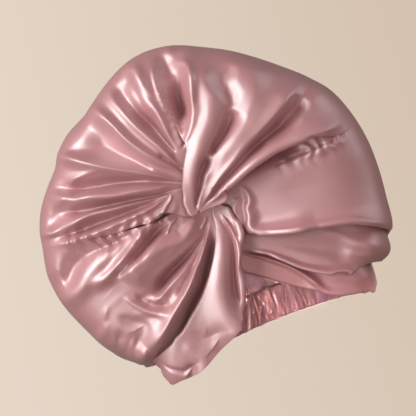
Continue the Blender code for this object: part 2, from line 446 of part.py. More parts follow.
def dentDepth(letter, x, z):
    """How far the hollows between the folds lie under the plain form, at places of the flattened front view."""
    total = np.zeros_like(x)
    for piece, depth, margin, loop in DENTS:
        if piece != letter:
            continue
        turns = np.radians([stop[0] for stop in loop])
        reaches = np.array([stop[1] for stop in loop], float)
        px, pz = reaches * np.cos(turns), reaches * np.sin(turns)
        nearest = np.full(x.shape, 1e9)
        inside = np.zeros(x.shape, bool)
        for ax, az, bx, bz in zip(px, pz, np.roll(px, -1), np.roll(pz, -1)):
            dx, dz = bx - ax, bz - az
            t = np.clip(((x - ax) * dx + (z - az) * dz) / (dx * dx + dz * dz), 0.0, 1.0)
            nearest = np.minimum(nearest, np.hypot(x - ax - t * dx, z - az - t * dz))
            if az != bz:
                inside ^= ((az > z) != (bz > z)) & (x < ax + (z - az) * dx / dz)
        inward = np.sqrt(nearest ** 2 + 1.0) - 1.0
        # the floor lies deeper on the low side of the hollow, and rises gently from there
        fall = px * DENT_FALL[0] + pz * DENT_FALL[1]
        lean = (x * DENT_FALL[0] + z * DENT_FALL[1] - fall.min()) / (fall.max() - fall.min())
        deep = DENT_DEEPEN * depth * (1 + DENT_LEAN * (2 * lean - 1))
        total += np.where(inside, deep * (1 - np.exp(-inward / (DENT_EASE * margin))), 0.0)
    return total


def pouchPoint(letter, angle, reach):
    """The plain form of the pouch: the front out to its outline, then the back down to the rim."""
    if letter == "B":
        outline = smoothRow(BAND_OUTLINE, 1, angle)
        depth = smoothRow(BAND_OUTLINE, 2, angle)
    else:
        outline = smoothRow(OUTLINE, 1, angle)
        depth = smoothRow(OUTLINE, 2, angle)
    turn = np.radians(angle)
    part = np.clip(reach / outline, 0.0, 1.0)
    rise = (1 - part ** FRONT_ROUNDNESS) ** (1 / FRONT_ROUNDNESS)
    y = depth - (depth - KNOT[1]) * rise + KNOT_DIP * np.exp(-(reach / KNOT_DIP_REACH) ** 2)
    drawn = part * outline * (1 - FRONT_DRAW * rise)
    x = KNOT[0] + drawn * np.cos(turn)
    z = KNOT[2] + drawn * np.sin(turn)
    front = np.stack([x, y, z], -1)

    rimPlace = smoothRow(OUTLINE, 3, angle)
    if letter == "B":
        rimPlace = np.full_like(angle, 15.5)
    level = smoothRow(NAPE_LEVELS, 2, rimPlace) - 2.0
    grow = POUCH_OVER_BAND
    if letter == "B":
        level = 2.5 + 24.0 * ease(angle, -52.0, -43.0)
        grow = 1.0
    rim = np.radians(rimPlace)
    end = np.stack([
        (RIM_HALF_WIDTH + grow) * np.cos(rim),
        (RIM_HALF_DEPTH + grow) * np.sin(rim),
        level,
    ], -1)
    edge = np.stack([
        KNOT[0] + outline * np.cos(turn),
        depth,
        KNOT[2] + outline * np.sin(turn),
    ], -1)
    span = np.linalg.norm(end - edge, axis=-1, keepdims=True)
    away = np.stack([np.cos(rim), np.sin(rim), 0.22 * np.ones_like(rim)], -1)
    first = edge + np.array([0.0, 1.0, 0.0]) * span * BACK_FULLNESS
    second = end + away * span * NAPE_FULLNESS
    t = np.clip((reach - outline) / backLength(angle), 0.0, 1.0)[..., None]
    back = (1 - t) ** 3 * edge + 3 * t * (1 - t) ** 2 * first + 3 * t * t * (1 - t) * second + t ** 3 * end
    return np.where((reach <= outline)[..., None], front, back)


def backLength(angle):
    """About how much cloth runs from the outline to the rim behind, by angle."""
    return 60.0 + 190.0 * np.exp(-((angle - 88.0) / 75.0) ** 2)


def napeGathers(angle, reach, outline):
    """Pleats that the nape casing draws into the back of the pouch."""
    place = smoothRow(OUTLINE, 3, angle)
    t = np.clip((reach - outline) / backLength(angle), 0.0, 1.0)
    wave = np.cos(np.radians(place) * NAPE_PLEATS) + 0.45 * np.cos(np.radians(place) * NAPE_PLEATS * 0.61 + 1.3)
    broad = np.sin(np.radians(place) * 7.0 + 0.6) * np.sin(np.pi * t) * 2.0
    return NAPE_PLEAT_HEIGHT * wave * ease(t, 0.35, 0.9) * (1 - 0.6 * ease(t, 0.9, 1.0)) + broad * ease(t, 0.05, 0.3)


def edgeTable(edge, pole, poleReach):
    """The edge, with the pull of the pleats' pole taken off, so that adding it again gives the traced edge."""
    rows = []
    for reach, angle in edge:
        turn = np.radians(angle)
        goal = np.array([reach * np.cos(turn), reach * np.sin(turn)])
        plain = goal
        for _ in range(30):
            pull = max(0.0, 1 - np.hypot(*plain) / poleReach) ** 2
            plain = goal - np.array(pole) * pull
        found = np.degrees(np.arctan2(plain[1], plain[0]))
        found += 360.0 * round((angle - found) / 360.0)
        rows.append((np.hypot(*plain), found))
    rows.sort()
    kept = [rows[0]]
    for row in rows[1:]:
        if row[0] > kept[-1][0] + 0.5:
            kept.append(row)
    return kept


def plainForm(panel, across, part):
    """Where a place of the panel lies on the plain pouch, and the same place in the flattened front view."""
    letter, firstEdge, secondEdge, pole, poleReach, firstReaches = panel[1:7]
    first = edgeTable(firstEdge, pole, poleReach)
    second = edgeTable(secondEdge, pole, poleReach)
    top = max(first[-1][0], second[-1][0])
    front = np.clip(part, 0.0, 1.0)
    behind = np.clip(part - 1.0, 0.0, 1.0)
    firstReach = firstReaches[0] + (firstReaches[1] - firstReaches[0]) * across
    outlineTable = {"P": FLAP_HEM, "B": BAND_OUTLINE}.get(letter, OUTLINE)

    def reachOf(outline):
        inner = firstReach + (FAN_START * outline - firstReach) * np.clip(front / FAN_START, 0.0, 1.0)
        return np.where(front < FAN_START, inner, front * outline)

    def place(angle):
        reach = reachOf(smoothRow(outlineTable, 1, angle)) + behind * backLength(angle)
        turn = np.radians(angle)
        pull = np.maximum(0.0, 1 - reach / poleReach) ** 2
        flatX = reach * np.cos(turn) + pole[0] * pull
        flatZ = reach * np.sin(turn) + pole[1] * pull
        angle = angle + np.degrees(wrapped(np.arctan2(flatZ, flatX) - turn))
        return pouchPoint(letter, angle, np.hypot(flatX, flatZ)), flatX, flatZ, angle

    nominal = reachOf(top)

    def edgeAngle(table):
        reach = nominal
        for _ in range(4):
            angle = smoothRow(table, 1, reach)
            reach = reachOf(smoothRow(outlineTable, 1, angle))
        return angle

    low = edgeAngle(first)
    high = edgeAngle(second)
    trims = []
    for edge, kind in ((low, panel[10]), (high, panel[11])):
        radius, turn = rollOf(kind, nominal)
        width = radius * np.sin(np.radians(np.minimum(turn, 90.0))) + SEAM_GAP
        perDegree = np.linalg.norm(place(edge + 0.5)[0] - place(edge - 0.5)[0], axis=-1)
        trims.append(np.minimum(width / np.maximum(perDegree, 0.12), (high - low) * 0.2))
    return place(low + trims[0] + (high - low - trims[0] - trims[1]) * across)


def surface(panel, across, part):
    """Outer points of the panel: across runs from its first edge to its second, part from the knot to the rim."""
    letter = panel[1]
    point, flatX, flatZ, angle = plainForm(panel, across, part)
    over = plainForm(panel, across + 0.004, part)[0] - plainForm(panel, across - 0.004, part)[0]
    down = plainForm(panel, across, part + 0.004)[0] - plainForm(panel, across, part - 0.004)[0]
    normal = unit(np.cross(over, down))
    outward = np.sum(normal * (point - np.array([0.0, 0.0, 110.0])), -1)
    normal = np.where((outward < 0)[..., None], -normal, normal)
    reach = np.hypot(flatX, flatZ)
    height = (foldHeight(letter, flatX, flatZ) - dentDepth(letter, flatX, flatZ)) * ease(reach, 1.0, 15.0)
    outline = smoothRow(BAND_OUTLINE if letter == "B" else OUTLINE, 1, angle)
    gathers = napeGathers(angle, reach, outline) if letter in "LRFSU" else 0.0
    sink = 0.0
    for piece, near, far, start, stop in LAYERS:
        if piece == letter:
            sink = near + (far - near) * ease(reach, start, stop)
    # near the outline the folds rise to the front, which leaves the outline itself smooth
    toFront = (ease(reach / outline, 0.62, 0.96) * (1 - ease(reach / outline, 1.0, 1.25)))[..., None]
    rising = unit(normal * (1 - toFront) + np.array([0.0, -1.0, 0.0]) * toFront)
    return point + normal * (gathers - sink)[..., None] + rising * height[..., None]


def rollOf(kind, reach):
    """Radius and turn of the rolled edge at each reach."""
    rows = np.array(ROLLS[kind])
    return np.interp(reach, rows[:, 0], rows[:, 1]), np.interp(reach, rows[:, 0], rows[:, 2])


def wrapped(angle):
    """The same turn, between minus half and half a turn."""
    return (angle + np.pi) % (2 * np.pi) - np.pi


def gridNormals(points):
    """Normals of a grid of points, facing away from the middle of the pouch."""
    down = np.gradient(points, axis=0)
    over = np.gradient(points, axis=1)
    normal = unit(np.cross(over, down))
    outward = np.sum(normal * (points - np.array([0.0, 0.0, 105.0])), -1)
    return normal if np.mean(outward) > 0 else -normal


def rolledEdge(points, normals, side, radius, turn, steps):
    """Columns that carry the cloth round the edge and under, like the fold of a pleat."""
    edge = points[:, side]
    normal = normals[:, side]
    along = unit(np.gradient(edge, axis=0))
    away = unit(np.cross(normal, along))
    inner = points[:, 1 if side == 0 else -2]
    away = np.where((np.sum(away * (edge - inner), -1) < 0)[:, None], -away, away)
    columns = []
    radius = radius[:, None]
    for index in range(1, steps + 1):
        angle = np.radians(turn)[:, None] * index / steps
        columns.append(edge + radius * (np.sin(angle) * away - (1 - np.cos(angle)) * normal))
    return columns


def rowParts(nearRows, fanRows, backRows):
    """Where the rows of a panel lie: to FAN_START, on to the outline at 1, then behind it to the rim at 2."""
    near = FAN_START * np.linspace(0.0, 1.0, nearRows + 1)
    lean = np.linspace(np.arcsin(FAN_START), np.pi / 2, fanRows + 1)[1:]
    parts = [near, np.sin(lean)]
    if backRows:
        parts.append(1 + np.linspace(0.0, 1.0, backRows + 1)[1:])
    return np.concatenate(parts)


def panelPoints(panel, columns, parts, rollSteps):
    """The panel's outer grid, with its rolled edges."""
    acrossGrid, partGrid = np.meshgrid(np.linspace(0.0, 1.0, columns + 1), parts)
    points = surface(panel, acrossGrid, partGrid)
    normals = gridNormals(points)
    reach = 133.0 * parts
    before = rolledEdge(points, normals, 0, *rollOf(panel[10], reach), rollSteps)[::-1]
    after = rolledEdge(points, normals, -1, *rollOf(panel[11], reach), rollSteps)
    return np.concatenate([np.stack(before, 1), points, np.stack(after, 1)], 1)


def shellMesh(name, points, wall):
    """A closed shell: the grid, the same grid set in by the wall, and the strips that join their edges."""
    normals = gridNormals(points)
    rows, cols = points.shape[:2]
    both = np.concatenate([points.reshape(-1, 3), (points - normals * wall).reshape(-1, 3)]) / 1000.0
    shift = rows * cols
    faces = []
    for i in range(rows - 1):
        for j in range(cols - 1):
            a, b = i * cols + j, i * cols + j + 1
            c, d = (i + 1) * cols + j + 1, (i + 1) * cols + j
            faces.append((a, b, c, d))
            faces.append((a + shift, d + shift, c + shift, b + shift))
    ring = [j for j in range(cols)]
    ring += [i * cols + cols - 1 for i in range(1, rows)]
    ring += [(rows - 1) * cols + j for j in range(cols - 2, -1, -1)]
    ring += [i * cols for i in range(rows - 2, 0, -1)]
    for here, there in zip(ring, ring[1:] + ring[:1]):
        faces.append((there, here, here + shift, there + shift))
    mesh = bpy.data.meshes.new(name)
    mesh.from_pydata([tuple(p) for p in both], [], faces)
    mesh.update()
    mesh.calc_loop_triangles()
    corner = both[np.array([t.vertices[:] for t in mesh.loop_triangles])]
    if np.sum(np.cross(corner[:, 0], corner[:, 1]) * corner[:, 2]) < 0:
        mesh.flip_normals()
    return mesh


def napePoints(columns, rows):
    """The ruched casing round the back of the head."""
    place = np.linspace(12.0, 205.0, columns + 1)
    height = np.linspace(0.0, 1.0, rows + 1)
    placeGrid, heightGrid = np.meshgrid(place, height)
    low = smoothRow(NAPE_LEVELS, 1, placeGrid)
    high = smoothRow(NAPE_LEVELS, 2, placeGrid)
    turn = np.radians(placeGrid)
    run = turn * (RIM_HALF_WIDTH + RIM_HALF_DEPTH) / 2
    phase = 2 * np.pi * run / RUFFLE_PITCH + 0.7 * np.sin(run / 19.0) + 0.5 * np.sin(heightGrid * 2.6 + run / 11.0)
    wave = np.cos(phase) * (0.75 + 0.25 * np.sin(run / 13.0))
    puff = 2.2 * np.sin(np.pi * heightGrid) - 1.0
    out = puff + RUFFLE_HEIGHT * wave * (0.55 + 0.45 * np.sin(np.pi * heightGrid))
    inset = -2.4 * (1 - ease(placeGrid, 12.0, 24.0)) - 5.0 * ease(placeGrid, 165.0, 186.0)
    x = (RIM_HALF_WIDTH + out + inset) * np.cos(turn)
    y = (RIM_HALF_DEPTH + out + inset) * np.sin(turn)
    wobble = 0.9 * np.cos(phase + 0.8) * (2 * heightGrid - 1)
    z = low + (high - low) * heightGrid + wobble
    return np.stack([x, y, z], -1)


def satin(name, colour):
    """Plain satin colour of a piece."""
    material = bpy.data.materials.new(name)
    material.use_nodes = True
    node = material.node_tree.nodes["Principled BSDF"]
    node.inputs["Base Color"].default_value = colour
    node.inputs["Roughness"].default_value = 0.32
    node.inputs["Metallic"].default_value = 0.0
    material.diffuse_color = colour
    return material


def main():
    for obj in list(bpy.data.objects):
        bpy.data.objects.remove(obj, do_unlink=True)
    group = bpy.data.collections.new("sleep_bonnet")
    bpy.context.scene.collection.children.link(group)
    for panel in PANELS:
        name, columns, nearRows, backRows = panel[0], panel[7], panel[8], panel[9]
        points = panelPoints(panel, columns, rowParts(nearRows, FAN_ROWS, backRows), 2)
        wall = BAND_WALL if name == "front_band" else WALL
        piece = bpy.data.objects.new(name, shellMesh(name, points, wall))
        piece.data.materials.append(satin(name + "_satin", ROSE))
        group.objects.link(piece)
    nape = bpy.data.objects.new("nape_band", shellMesh("nape_band", napePoints(96, 3), BAND_WALL))
    nape.data.materials.append(satin("nape_satin", ROSE_DEEP))
    group.objects.link(nape)
    total = 0
    for piece in group.objects:
        count = sum(len(face.vertices) - 2 for face in piece.data.polygons)
        total += count
        print(piece.name, count)
    print("triangles", total)


main()
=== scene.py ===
# Satin sleep bonnet with a twisted front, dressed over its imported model.
import math
import bpy
import numpy as np
from mathutils import Matrix, Vector


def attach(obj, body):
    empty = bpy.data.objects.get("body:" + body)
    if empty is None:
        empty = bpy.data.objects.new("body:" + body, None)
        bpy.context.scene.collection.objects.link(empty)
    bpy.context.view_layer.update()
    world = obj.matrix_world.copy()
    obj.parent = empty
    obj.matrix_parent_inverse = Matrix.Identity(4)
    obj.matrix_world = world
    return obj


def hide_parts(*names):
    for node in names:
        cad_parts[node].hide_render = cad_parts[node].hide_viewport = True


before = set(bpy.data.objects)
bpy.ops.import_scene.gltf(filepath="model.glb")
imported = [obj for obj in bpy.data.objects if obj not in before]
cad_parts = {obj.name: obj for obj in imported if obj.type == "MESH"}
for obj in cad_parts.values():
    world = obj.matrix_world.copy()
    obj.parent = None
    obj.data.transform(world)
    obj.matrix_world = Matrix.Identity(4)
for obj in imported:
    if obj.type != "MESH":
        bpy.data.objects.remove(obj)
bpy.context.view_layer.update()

for spare in ("Cube", "Light", "Camera"):
    if spare in bpy.data.objects:
        bpy.data.objects.remove(bpy.data.objects[spare])
print("frame loaded", list(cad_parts))

# The form that all the panels lie on. Lengths are mm here and metres in the scene.
# Angles turn about the knot as seen from the front, 0 to the right and 90 up; reach is the
# distance from the knot in that view, and past the outline it goes on along the back.
pouch = {
    "knot": (-2.0, -118.0, 115.0),
    "knotDip": 9.0,
    "knotDipReach": 26.0,
    "frontRoundness": 4.6,
    "frontDraw": 0.045,
    "backFullness": 0.46,
    "napeFullness": 0.33,
    "fanStart": 0.45,
    "rimHalfWidth": 90.0,
    "rimHalfDepth": 98.0,
    "wall": 1.2,
    "seamGap": -0.1,
    "middle": (0.0, 0.0, 110.0),  # cloth faces away from here
    "fullReach": 133.0,
    "overCasing": 1.6,  # how far the pouch sits outside the ring of the casing, and how far the band does
    "bandOverCasing": 1.0,
    "rimTuck": 2.0,  # how far the cloth ends below the top of the casing
    "rimLean": 0.22,
    # the back's length: shortest, what the crown adds, angle where it is longest, spread
    "back": (60.0, 190.0, 88.0, 75.0),
    # where the band ends: place round the rim, lowest level, rise, angles between which it rises
    "bandEnd": (15.5, 2.5, 24.0, -52.0, -43.0),
    # angle, reach of the outline, depth y, place round the rim where the cloth ends
    "outline": (
        (-60.0, 150.0, -48.0, -2.0), (-51.0, 147.0, -46.0, 2.0), (-43.0, 141.0, -44.0, 7.0),
        (-38.0, 141.5, -42.0, 10.0), (-30.0, 141.5, -41.0, 15.0), (-20.0, 136.5, -39.0, 22.0),
        (-10.0, 134.0, -37.0, 30.0), (0.0, 133.0, -36.0, 38.0), (10.0, 132.0, -36.0, 45.0),
        (20.0, 131.0, -36.0, 52.0), (30.0, 127.0, -36.0, 58.0), (40.0, 123.5, -36.0, 64.0),
        (50.0, 122.5, -36.0, 70.0), (60.0, 124.0, -36.0, 76.0), (70.0, 126.5, -37.0, 82.0),
        (80.0, 131.0, -37.0, 87.0), (90.0, 133.0, -37.0, 92.0), (100.0, 130.5, -38.0, 97.0),
        (110.0, 126.0, -38.0, 103.0), (119.0, 123.0, -39.0, 109.0), (130.0, 127.0, -39.0, 117.0),
        (136.0, 127.5, -40.0, 121.0), (142.0, 126.5, -40.0, 125.0), (150.0, 130.0, -41.0, 131.0),
        (160.0, 135.0, -42.0, 138.0), (170.0, 136.0, -43.0, 145.0), (180.0, 139.0, -44.0, 152.0),
        (190.0, 138.0, -46.0, 158.0), (200.0, 136.5, -48.0, 164.0), (210.0, 136.5, -50.0, 169.0),
        (218.0, 134.0, -52.0, 173.0), (226.0, 133.0, -54.0, 177.0), (232.0, 147.0, -54.0, 180.0),
        (240.0, 151.0, -52.0, 180.0), (250.0, 156.0, -48.0, 180.0), (262.0, 160.0, -46.0, 180.0),
        (300.0, 160.0, -46.0, 180.0),
    ),
    # the same for the front band, which lies inside the pouch
    "bandOutline": (
        (-100.0, 158.0, -46.0), (-85.0, 157.0, -46.0), (-70.0, 152.0, -46.0), (-58.0, 148.5, -46.0),
        (-51.0, 147.5, -46.0), (-46.5, 142.5, -46.0), (-42.6, 135.0, -46.0), (-36.0, 124.0, -46.0),
    ),
    # free hem of the flap: angle, reach
    "flapHem": (
        (220.0, 126.0), (224.0, 129.0), (226.0, 131.5), (229.0, 134.5), (232.8, 143.0), (236.0, 138.5),
        (240.3, 132.5), (249.2, 113.0), (255.0, 103.5), (258.7, 98.5), (264.0, 95.0),
    ),
    # place round the rim, bottom z and top z of the nape casing
    "napeLevels": (
        (8.0, 2.0, 27.0), (30.0, 4.0, 29.5), (60.0, 7.0, 33.0), (90.0, 9.0, 35.0),
        (120.0, 8.0, 33.0), (150.0, 4.0, 27.0), (180.0, 2.5, 20.0), (205.0, 5.0, 20.0),
    ),
    # how cloth rolls under at an edge, by kind: reach, radius, turn in degrees
    "rolls": {
        "seam": ((0.0, 0.7, 25.0), (133.0, 0.7, 25.0)),
        "seamUnder": ((0.0, 1.6, 110.0), (44.0, 1.4, 90.0), (64.0, 0.7, 25.0), (133.0, 0.7, 25.0)),
        "plain": ((0.0, 1.6, 18.0), (133.0, 1.6, 18.0)),
        "hem": ((0.0, 1.8, 105.0), (133.0, 1.8, 105.0)),
        "fold": (
            (0.0, 1.2, 60.0), (8.0, 1.4, 80.0), (22.0, 2.6, 140.0), (80.0, 2.6, 140.0), (133.0, 2.2, 140.0),
        ),
        "lobeLeft": (
            (0.0, 1.2, 60.0), (16.0, 2.4, 120.0), (48.0, 2.6, 130.0), (62.0, 1.6, 35.0), (133.0, 1.6, 35.0),
        ),
        "lobeRight": (
            (0.0, 1.2, 40.0), (16.0, 1.4, 50.0), (28.0, 3.0, 140.0), (88.0, 3.2, 145.0), (108.0, 2.0, 125.0),
            (122.0, 1.2, 70.0), (133.0, 1.0, 40.0),
        ),
    },
}


def softStep(value, low, high):
    t = np.clip((value - low) / (high - low), 0.0, 1.0)
    return t * t * (3 - 2 * t)


def unitLength(vectors):
    return vectors / np.maximum(np.linalg.norm(vectors, axis=-1, keepdims=True), 1e-9)


def smoothColumn(table, column, at):
    # one column of a table, read along a smooth curve through its rows
    xs = np.array([row[0] for row in table], float)
    ys = np.array([row[column] for row in table], float)
    slopes = np.gradient(ys, xs)
    at = np.clip(at, xs[0], xs[-1])
    index = np.clip(np.searchsorted(xs, at) - 1, 0, len(xs) - 2)
    width = xs[index + 1] - xs[index]
    t = (at - xs[index]) / width
    low = (1 + 2 * t) * (1 - t) ** 2 * ys[index] + t * (1 - t) ** 2 * width * slopes[index]
    high = t * t * (3 - 2 * t) * ys[index + 1] + t * t * (t - 1) * width * slopes[index + 1]
    return low + high


def smoothRun(run, pieces=10):
    # the stops of a run, as x and z from the knot, joined by a smooth curve
    turn, reach = np.radians([stop[0] for stop in run]), np.array([stop[1] for stop in run])
    stops = np.stack([reach * np.cos(turn), reach * np.sin(turn)], -1)
    if len(stops) < 3:
        return stops
    padded = np.concatenate([[2 * stops[0] - stops[1]], stops, [2 * stops[-1] - stops[-2]]])
    curve = []
    for i in range(1, len(padded) - 2):
        p0, p1, p2, p3 = padded[i - 1:i + 3]
        for t in np.arange(pieces) / pieces:
            curve.append(0.5 * (2 * p1 + (p2 - p0) * t + (2 * p0 - 5 * p1 + 4 * p2 - p3) * t * t
                                + (3 * p1 - p0 - 3 * p2 + p3) * t ** 3))
    curve.append(stops[-1])
    return np.array(curve)


def nearRun(run, x, z, within):
    # for the places near a run: which they are, signed distance, distance along it, its length
    curve = smoothRun(run)
    low, high = curve.min(0) - within, curve.max(0) + within
    near = np.flatnonzero((x > low[0]) & (x < high[0]) & (z > low[1]) & (z < high[1]))
    px, pz = x[near], z[near]
    legs = np.maximum(np.linalg.norm(np.diff(curve, axis=0), axis=1), 1e-6)
    start = np.concatenate([[0.0], np.cumsum(legs)])
    best = np.full(px.shape, 1e9)
    side = np.zeros_like(px)
    along = np.zeros_like(px)
    for leg, length in enumerate(legs):
        dx, dz = curve[leg + 1] - curve[leg]
        ox, oz = px - curve[leg, 0], pz - curve[leg, 1]
        t = np.clip((ox * dx + oz * dz) / length ** 2, 0.0, 1.0)
        distance = np.hypot(ox - t * dx, oz - t * dz)
        nearer = distance < best
        best[nearer] = distance[nearer]
        side[nearer] = (dx * oz - dz * ox)[nearer]
        along[nearer] = (start[leg] + t * length)[nearer]
    return near, np.where(side > 0, best, -best), along, start[-1]


foldStyle = {
    "openFrom": 92.0,  # a fold that runs past this reach goes on over the outline
    "openBy": 20.0,
    "window": 5.0,  # widths on either side of the run within which the fold is worked out
    "knotShare": 0.45,  # share of its size that a fold has at its start, and how far on it is whole
    "wholeAt": 34.0,
    "growFrom": 28.0,  # how much it widens and rises on its way out, and over which length
    "widen": 0.9,
    "widenTo": 105.0,
    "rise": 0.7,
    "riseTo": 95.0,
    "comesIn": (-0.04, 0.16),  # shares of its length over which it comes in and dies down
    "diesDown": (0.82, 1.02),
    "diesBy": 0.9,
}


def foldRelief(folds, x, z):
    # rows of a table of folds: height, width on the anticlockwise and the clockwise side, sharpness, run
    total = np.zeros(x.shape)
    style = foldStyle
    for height, widthCcw, widthCw, sharp, run in folds:
        angle, reach = run[-1]
        if reach > style["openFrom"]:
            run = run + ((angle, reach + style["openBy"]),)
        near, distance, along, length = nearRun(run, x, z, style["window"] * max(widthCcw, widthCw))
        width = np.where(distance > 0, widthCcw, widthCw)
        narrow = style["knotShare"] + (1 - style["knotShare"]) * softStep(along, 0.0, style["wholeAt"])
        spread = narrow + style["widen"] * softStep(along, style["growFrom"], style["widenTo"])
        rise = narrow * (1 + style["rise"] * softStep(along, style["growFrom"], style["riseTo"]))
        comesIn, diesDown = (softStep(along, *(share * length for share in style[end]))
                             for end in ("comesIn", "diesDown"))
        taper = comesIn * (1 - style["diesBy"] * diesDown)
        total[near] += height * rise * taper * np.exp(-np.abs(distance / (width * spread)) ** sharp)
    return total


dentStyle = {
    "deepen": 2.0,
    "ease": 2.0,
    "lean": 0.6,  # how much deeper the floor is on its low side
    "fall": (0.36, -0.93),  # which side is low, as x and z from the knot
}


def dentRelief(dents, x, z):
    # rows of a table of dents: depth, how far in it deepens, loop round it
    total = np.zeros(x.shape)
    for depth, margin, loop in dents:
        curve = smoothRun(loop[-2:] + loop + loop[:2], 3)[6:-5]
        low, high = curve.min(0), curve.max(0)
        near = np.flatnonzero((x > low[0]) & (x < high[0]) & (z > low[1]) & (z < high[1]))
        px, pz = x[near], z[near]
        nearest = np.full(px.shape, 1e9)
        inside = np.zeros(px.shape, bool)
        for (ax, az), (bx, bz) in zip(curve, np.roll(curve, -1, axis=0)):
            dx, dz = bx - ax, bz - az
            t = np.clip(((px - ax) * dx + (pz - az) * dz) / max(dx * dx + dz * dz, 1e-6), 0.0, 1.0)
            nearest = np.minimum(nearest, np.hypot(px - ax - t * dx, pz - az - t * dz))
            if az != bz:
                inside ^= ((az > pz) != (bz > pz)) & (px < ax + (pz - az) * dx / dz)
        inward = np.sqrt(nearest ** 2 + 1.0) - 1.0
        fallX, fallZ = dentStyle["fall"]
        fall = curve @ np.array(dentStyle["fall"])
        lean = (px * fallX + pz * fallZ - fall.min()) / (fall.max() - fall.min())
        deep = dentStyle["deepen"] * depth * (1 + dentStyle["lean"] * (2 * lean - 1))
        total[near] -= np.where(inside, deep * (1 - np.exp(-inward / (dentStyle["ease"] * margin))), 0.0)
    return total


def softened(height, passes):
    for step in range(passes):
        padded = np.pad(height, 1, "edge")
        besides = padded[:-2, 1:-1] + padded[2:, 1:-1] + padded[1:-1, :-2] + padded[1:-1, 2:]
        height = (besides + 2 * height) / 6
    return height


def softNoise(x, y, seed, cells=64):
    # smooth value noise, about -1 to 1, one cell to a unit
    table = np.random.default_rng(seed).uniform(-1.0, 1.0, (cells, cells))
    ix, iy = np.floor(x).astype(int), np.floor(y).astype(int)
    tx, ty = x - ix, y - iy
    tx, ty = tx * tx * (3 - 2 * tx), ty * ty * (3 - 2 * ty)
    ix, iy, nextX, nextY = ix % cells, iy % cells, (ix + 1) % cells, (iy + 1) % cells
    low = table[ix, iy] * (1 - tx) + table[nextX, iy] * tx
    high = table[ix, nextY] * (1 - tx) + table[nextX, nextY] * tx
    return low * (1 - ty) + high * ty


puckerStyle = {
    "window": 3.0,  # widths on either side of the stitches that the gathers reach
    "sharp": 1.4,
    "lean": 0.9,  # how much a gather leans, and over how many pitches that changes
    "leanPitches": 2.2,
    "sway": 3.0,
    "swayPitches": 1.6,
    "swayAcross": 9.0,
    "least": 0.65,  # height of a gather: its least share, and what chance adds
    "chance": 0.6,
    "chancePitches": 1.3,
    "lowSide": 0.75,  # share of the height on the clockwise side
    "fade": 0.1,  # share of the length over which the row comes in and goes out
    "groove": 0.25,  # depth of the stitched groove as a share of the height, and its half width
    "grooveWidth": 1.2,
}


def puckerRelief(puckers, x, z):
    # rows of a table of the small gathers that stitches draw in: height, width, pitch, seed, run
    total = np.zeros(x.shape)
    style = puckerStyle
    for height, width, pitch, seed, run in puckers:
        near, distance, along, length = nearRun(run, x, z, style["window"] * width)
        sides = np.where(distance > 0, 1.0, style["lowSide"])
        lean = softNoise(along / (style["leanPitches"] * pitch), np.full(along.shape, 0.5), seed)
        sway = softNoise(along / (style["swayPitches"] * pitch), distance / style["swayAcross"], seed + 3)
        chance = softNoise(along / (style["chancePitches"] * pitch), np.sign(distance) * 0.8 + 2.0, seed + 5)
        leaning = along + distance * style["lean"] * lean
        wave = np.sin(2 * np.pi * leaning / pitch + style["sway"] * sway)
        wave = wave * (style["least"] + style["chance"] * chance)
        fade = softStep(along, 0.0, style["fade"] * length)
        fade = fade * (1 - softStep(along, (1 - style["fade"]) * length, length))
        groove = style["groove"] * height * np.exp(-(distance / style["grooveWidth"]) ** 2)
        gathers = height * sides * wave * np.exp(-np.abs(distance / width) ** style["sharp"])
        total[near] += fade * (gathers - groove)
    return total


def backLength(angle):
    shortest, crownAdds, longestAt, spread = pouch["back"]
    return shortest + crownAdds * np.exp(-((angle - longestAt) / spread) ** 2)


def pouchPoint(isBand, angle, reach):
    # the plain form: the front out to its outline, then the back down to the rim
    knot = pouch["knot"]
    table = pouch["bandOutline"] if isBand else pouch["outline"]
    outline, depth = smoothColumn(table, 1, angle), smoothColumn(table, 2, angle)
    turn = np.radians(angle)
    part = np.clip(reach / outline, 0.0, 1.0)
    rise = (1 - part ** pouch["frontRoundness"]) ** (1 / pouch["frontRoundness"])
    y = depth - (depth - knot[1]) * rise + pouch["knotDip"] * np.exp(-(reach / pouch["knotDipReach"]) ** 2)
    drawn = part * outline * (1 - pouch["frontDraw"] * rise)
    front = np.stack([knot[0] + drawn * np.cos(turn), y, knot[2] + drawn * np.sin(turn)], -1)
    if isBand:
        endPlace, lowest, rises, start, stop = pouch["bandEnd"]
        rimPlace, grow = np.full_like(angle, endPlace), pouch["bandOverCasing"]
        level = lowest + rises * softStep(angle, start, stop)
    else:
        rimPlace, grow = smoothColumn(pouch["outline"], 3, angle), pouch["overCasing"]
        level = smoothColumn(pouch["napeLevels"], 2, rimPlace) - pouch["rimTuck"]
    rim = np.radians(rimPlace)
    end = np.stack([(pouch["rimHalfWidth"] + grow) * np.cos(rim),
                    (pouch["rimHalfDepth"] + grow) * np.sin(rim), level], -1)
    edge = np.stack([knot[0] + outline * np.cos(turn), depth, knot[2] + outline * np.sin(turn)], -1)
    span = np.linalg.norm(end - edge, axis=-1, keepdims=True)
    away = np.stack([np.cos(rim), np.sin(rim), np.full_like(rim, pouch["rimLean"])], -1)
    first = edge + np.array([0.0, 1.0, 0.0]) * span * pouch["backFullness"]
    second = end + away * span * pouch["napeFullness"]
    t = np.clip((reach - outline) / backLength(angle), 0.0, 1.0)[..., None]
    back = (1 - t) ** 3 * edge + 3 * t * (1 - t) ** 2 * first + 3 * t * t * (1 - t) * second + t ** 3 * end
    return np.where((reach <= outline)[..., None], front, back)


backPleats = {
    "number": 26,
    "height": 2.6,
    "from": (0.35, 0.9),  # share of the way down the back over which the pleats rise
    "pressed": 0.6,  # how much of their height the casing presses flat
    "second": (0.45, 0.61, 1.3),  # a second row of pleats: share, pitch, shift
    "fine": (0.28, 2.3, 1.1, 9.0),  # small ones at the casing: share, pitch, sway, pitch of the sway
    "broad": (2.0, 7.0, 0.6),  # slow waves over the whole back: height, number, shift
}


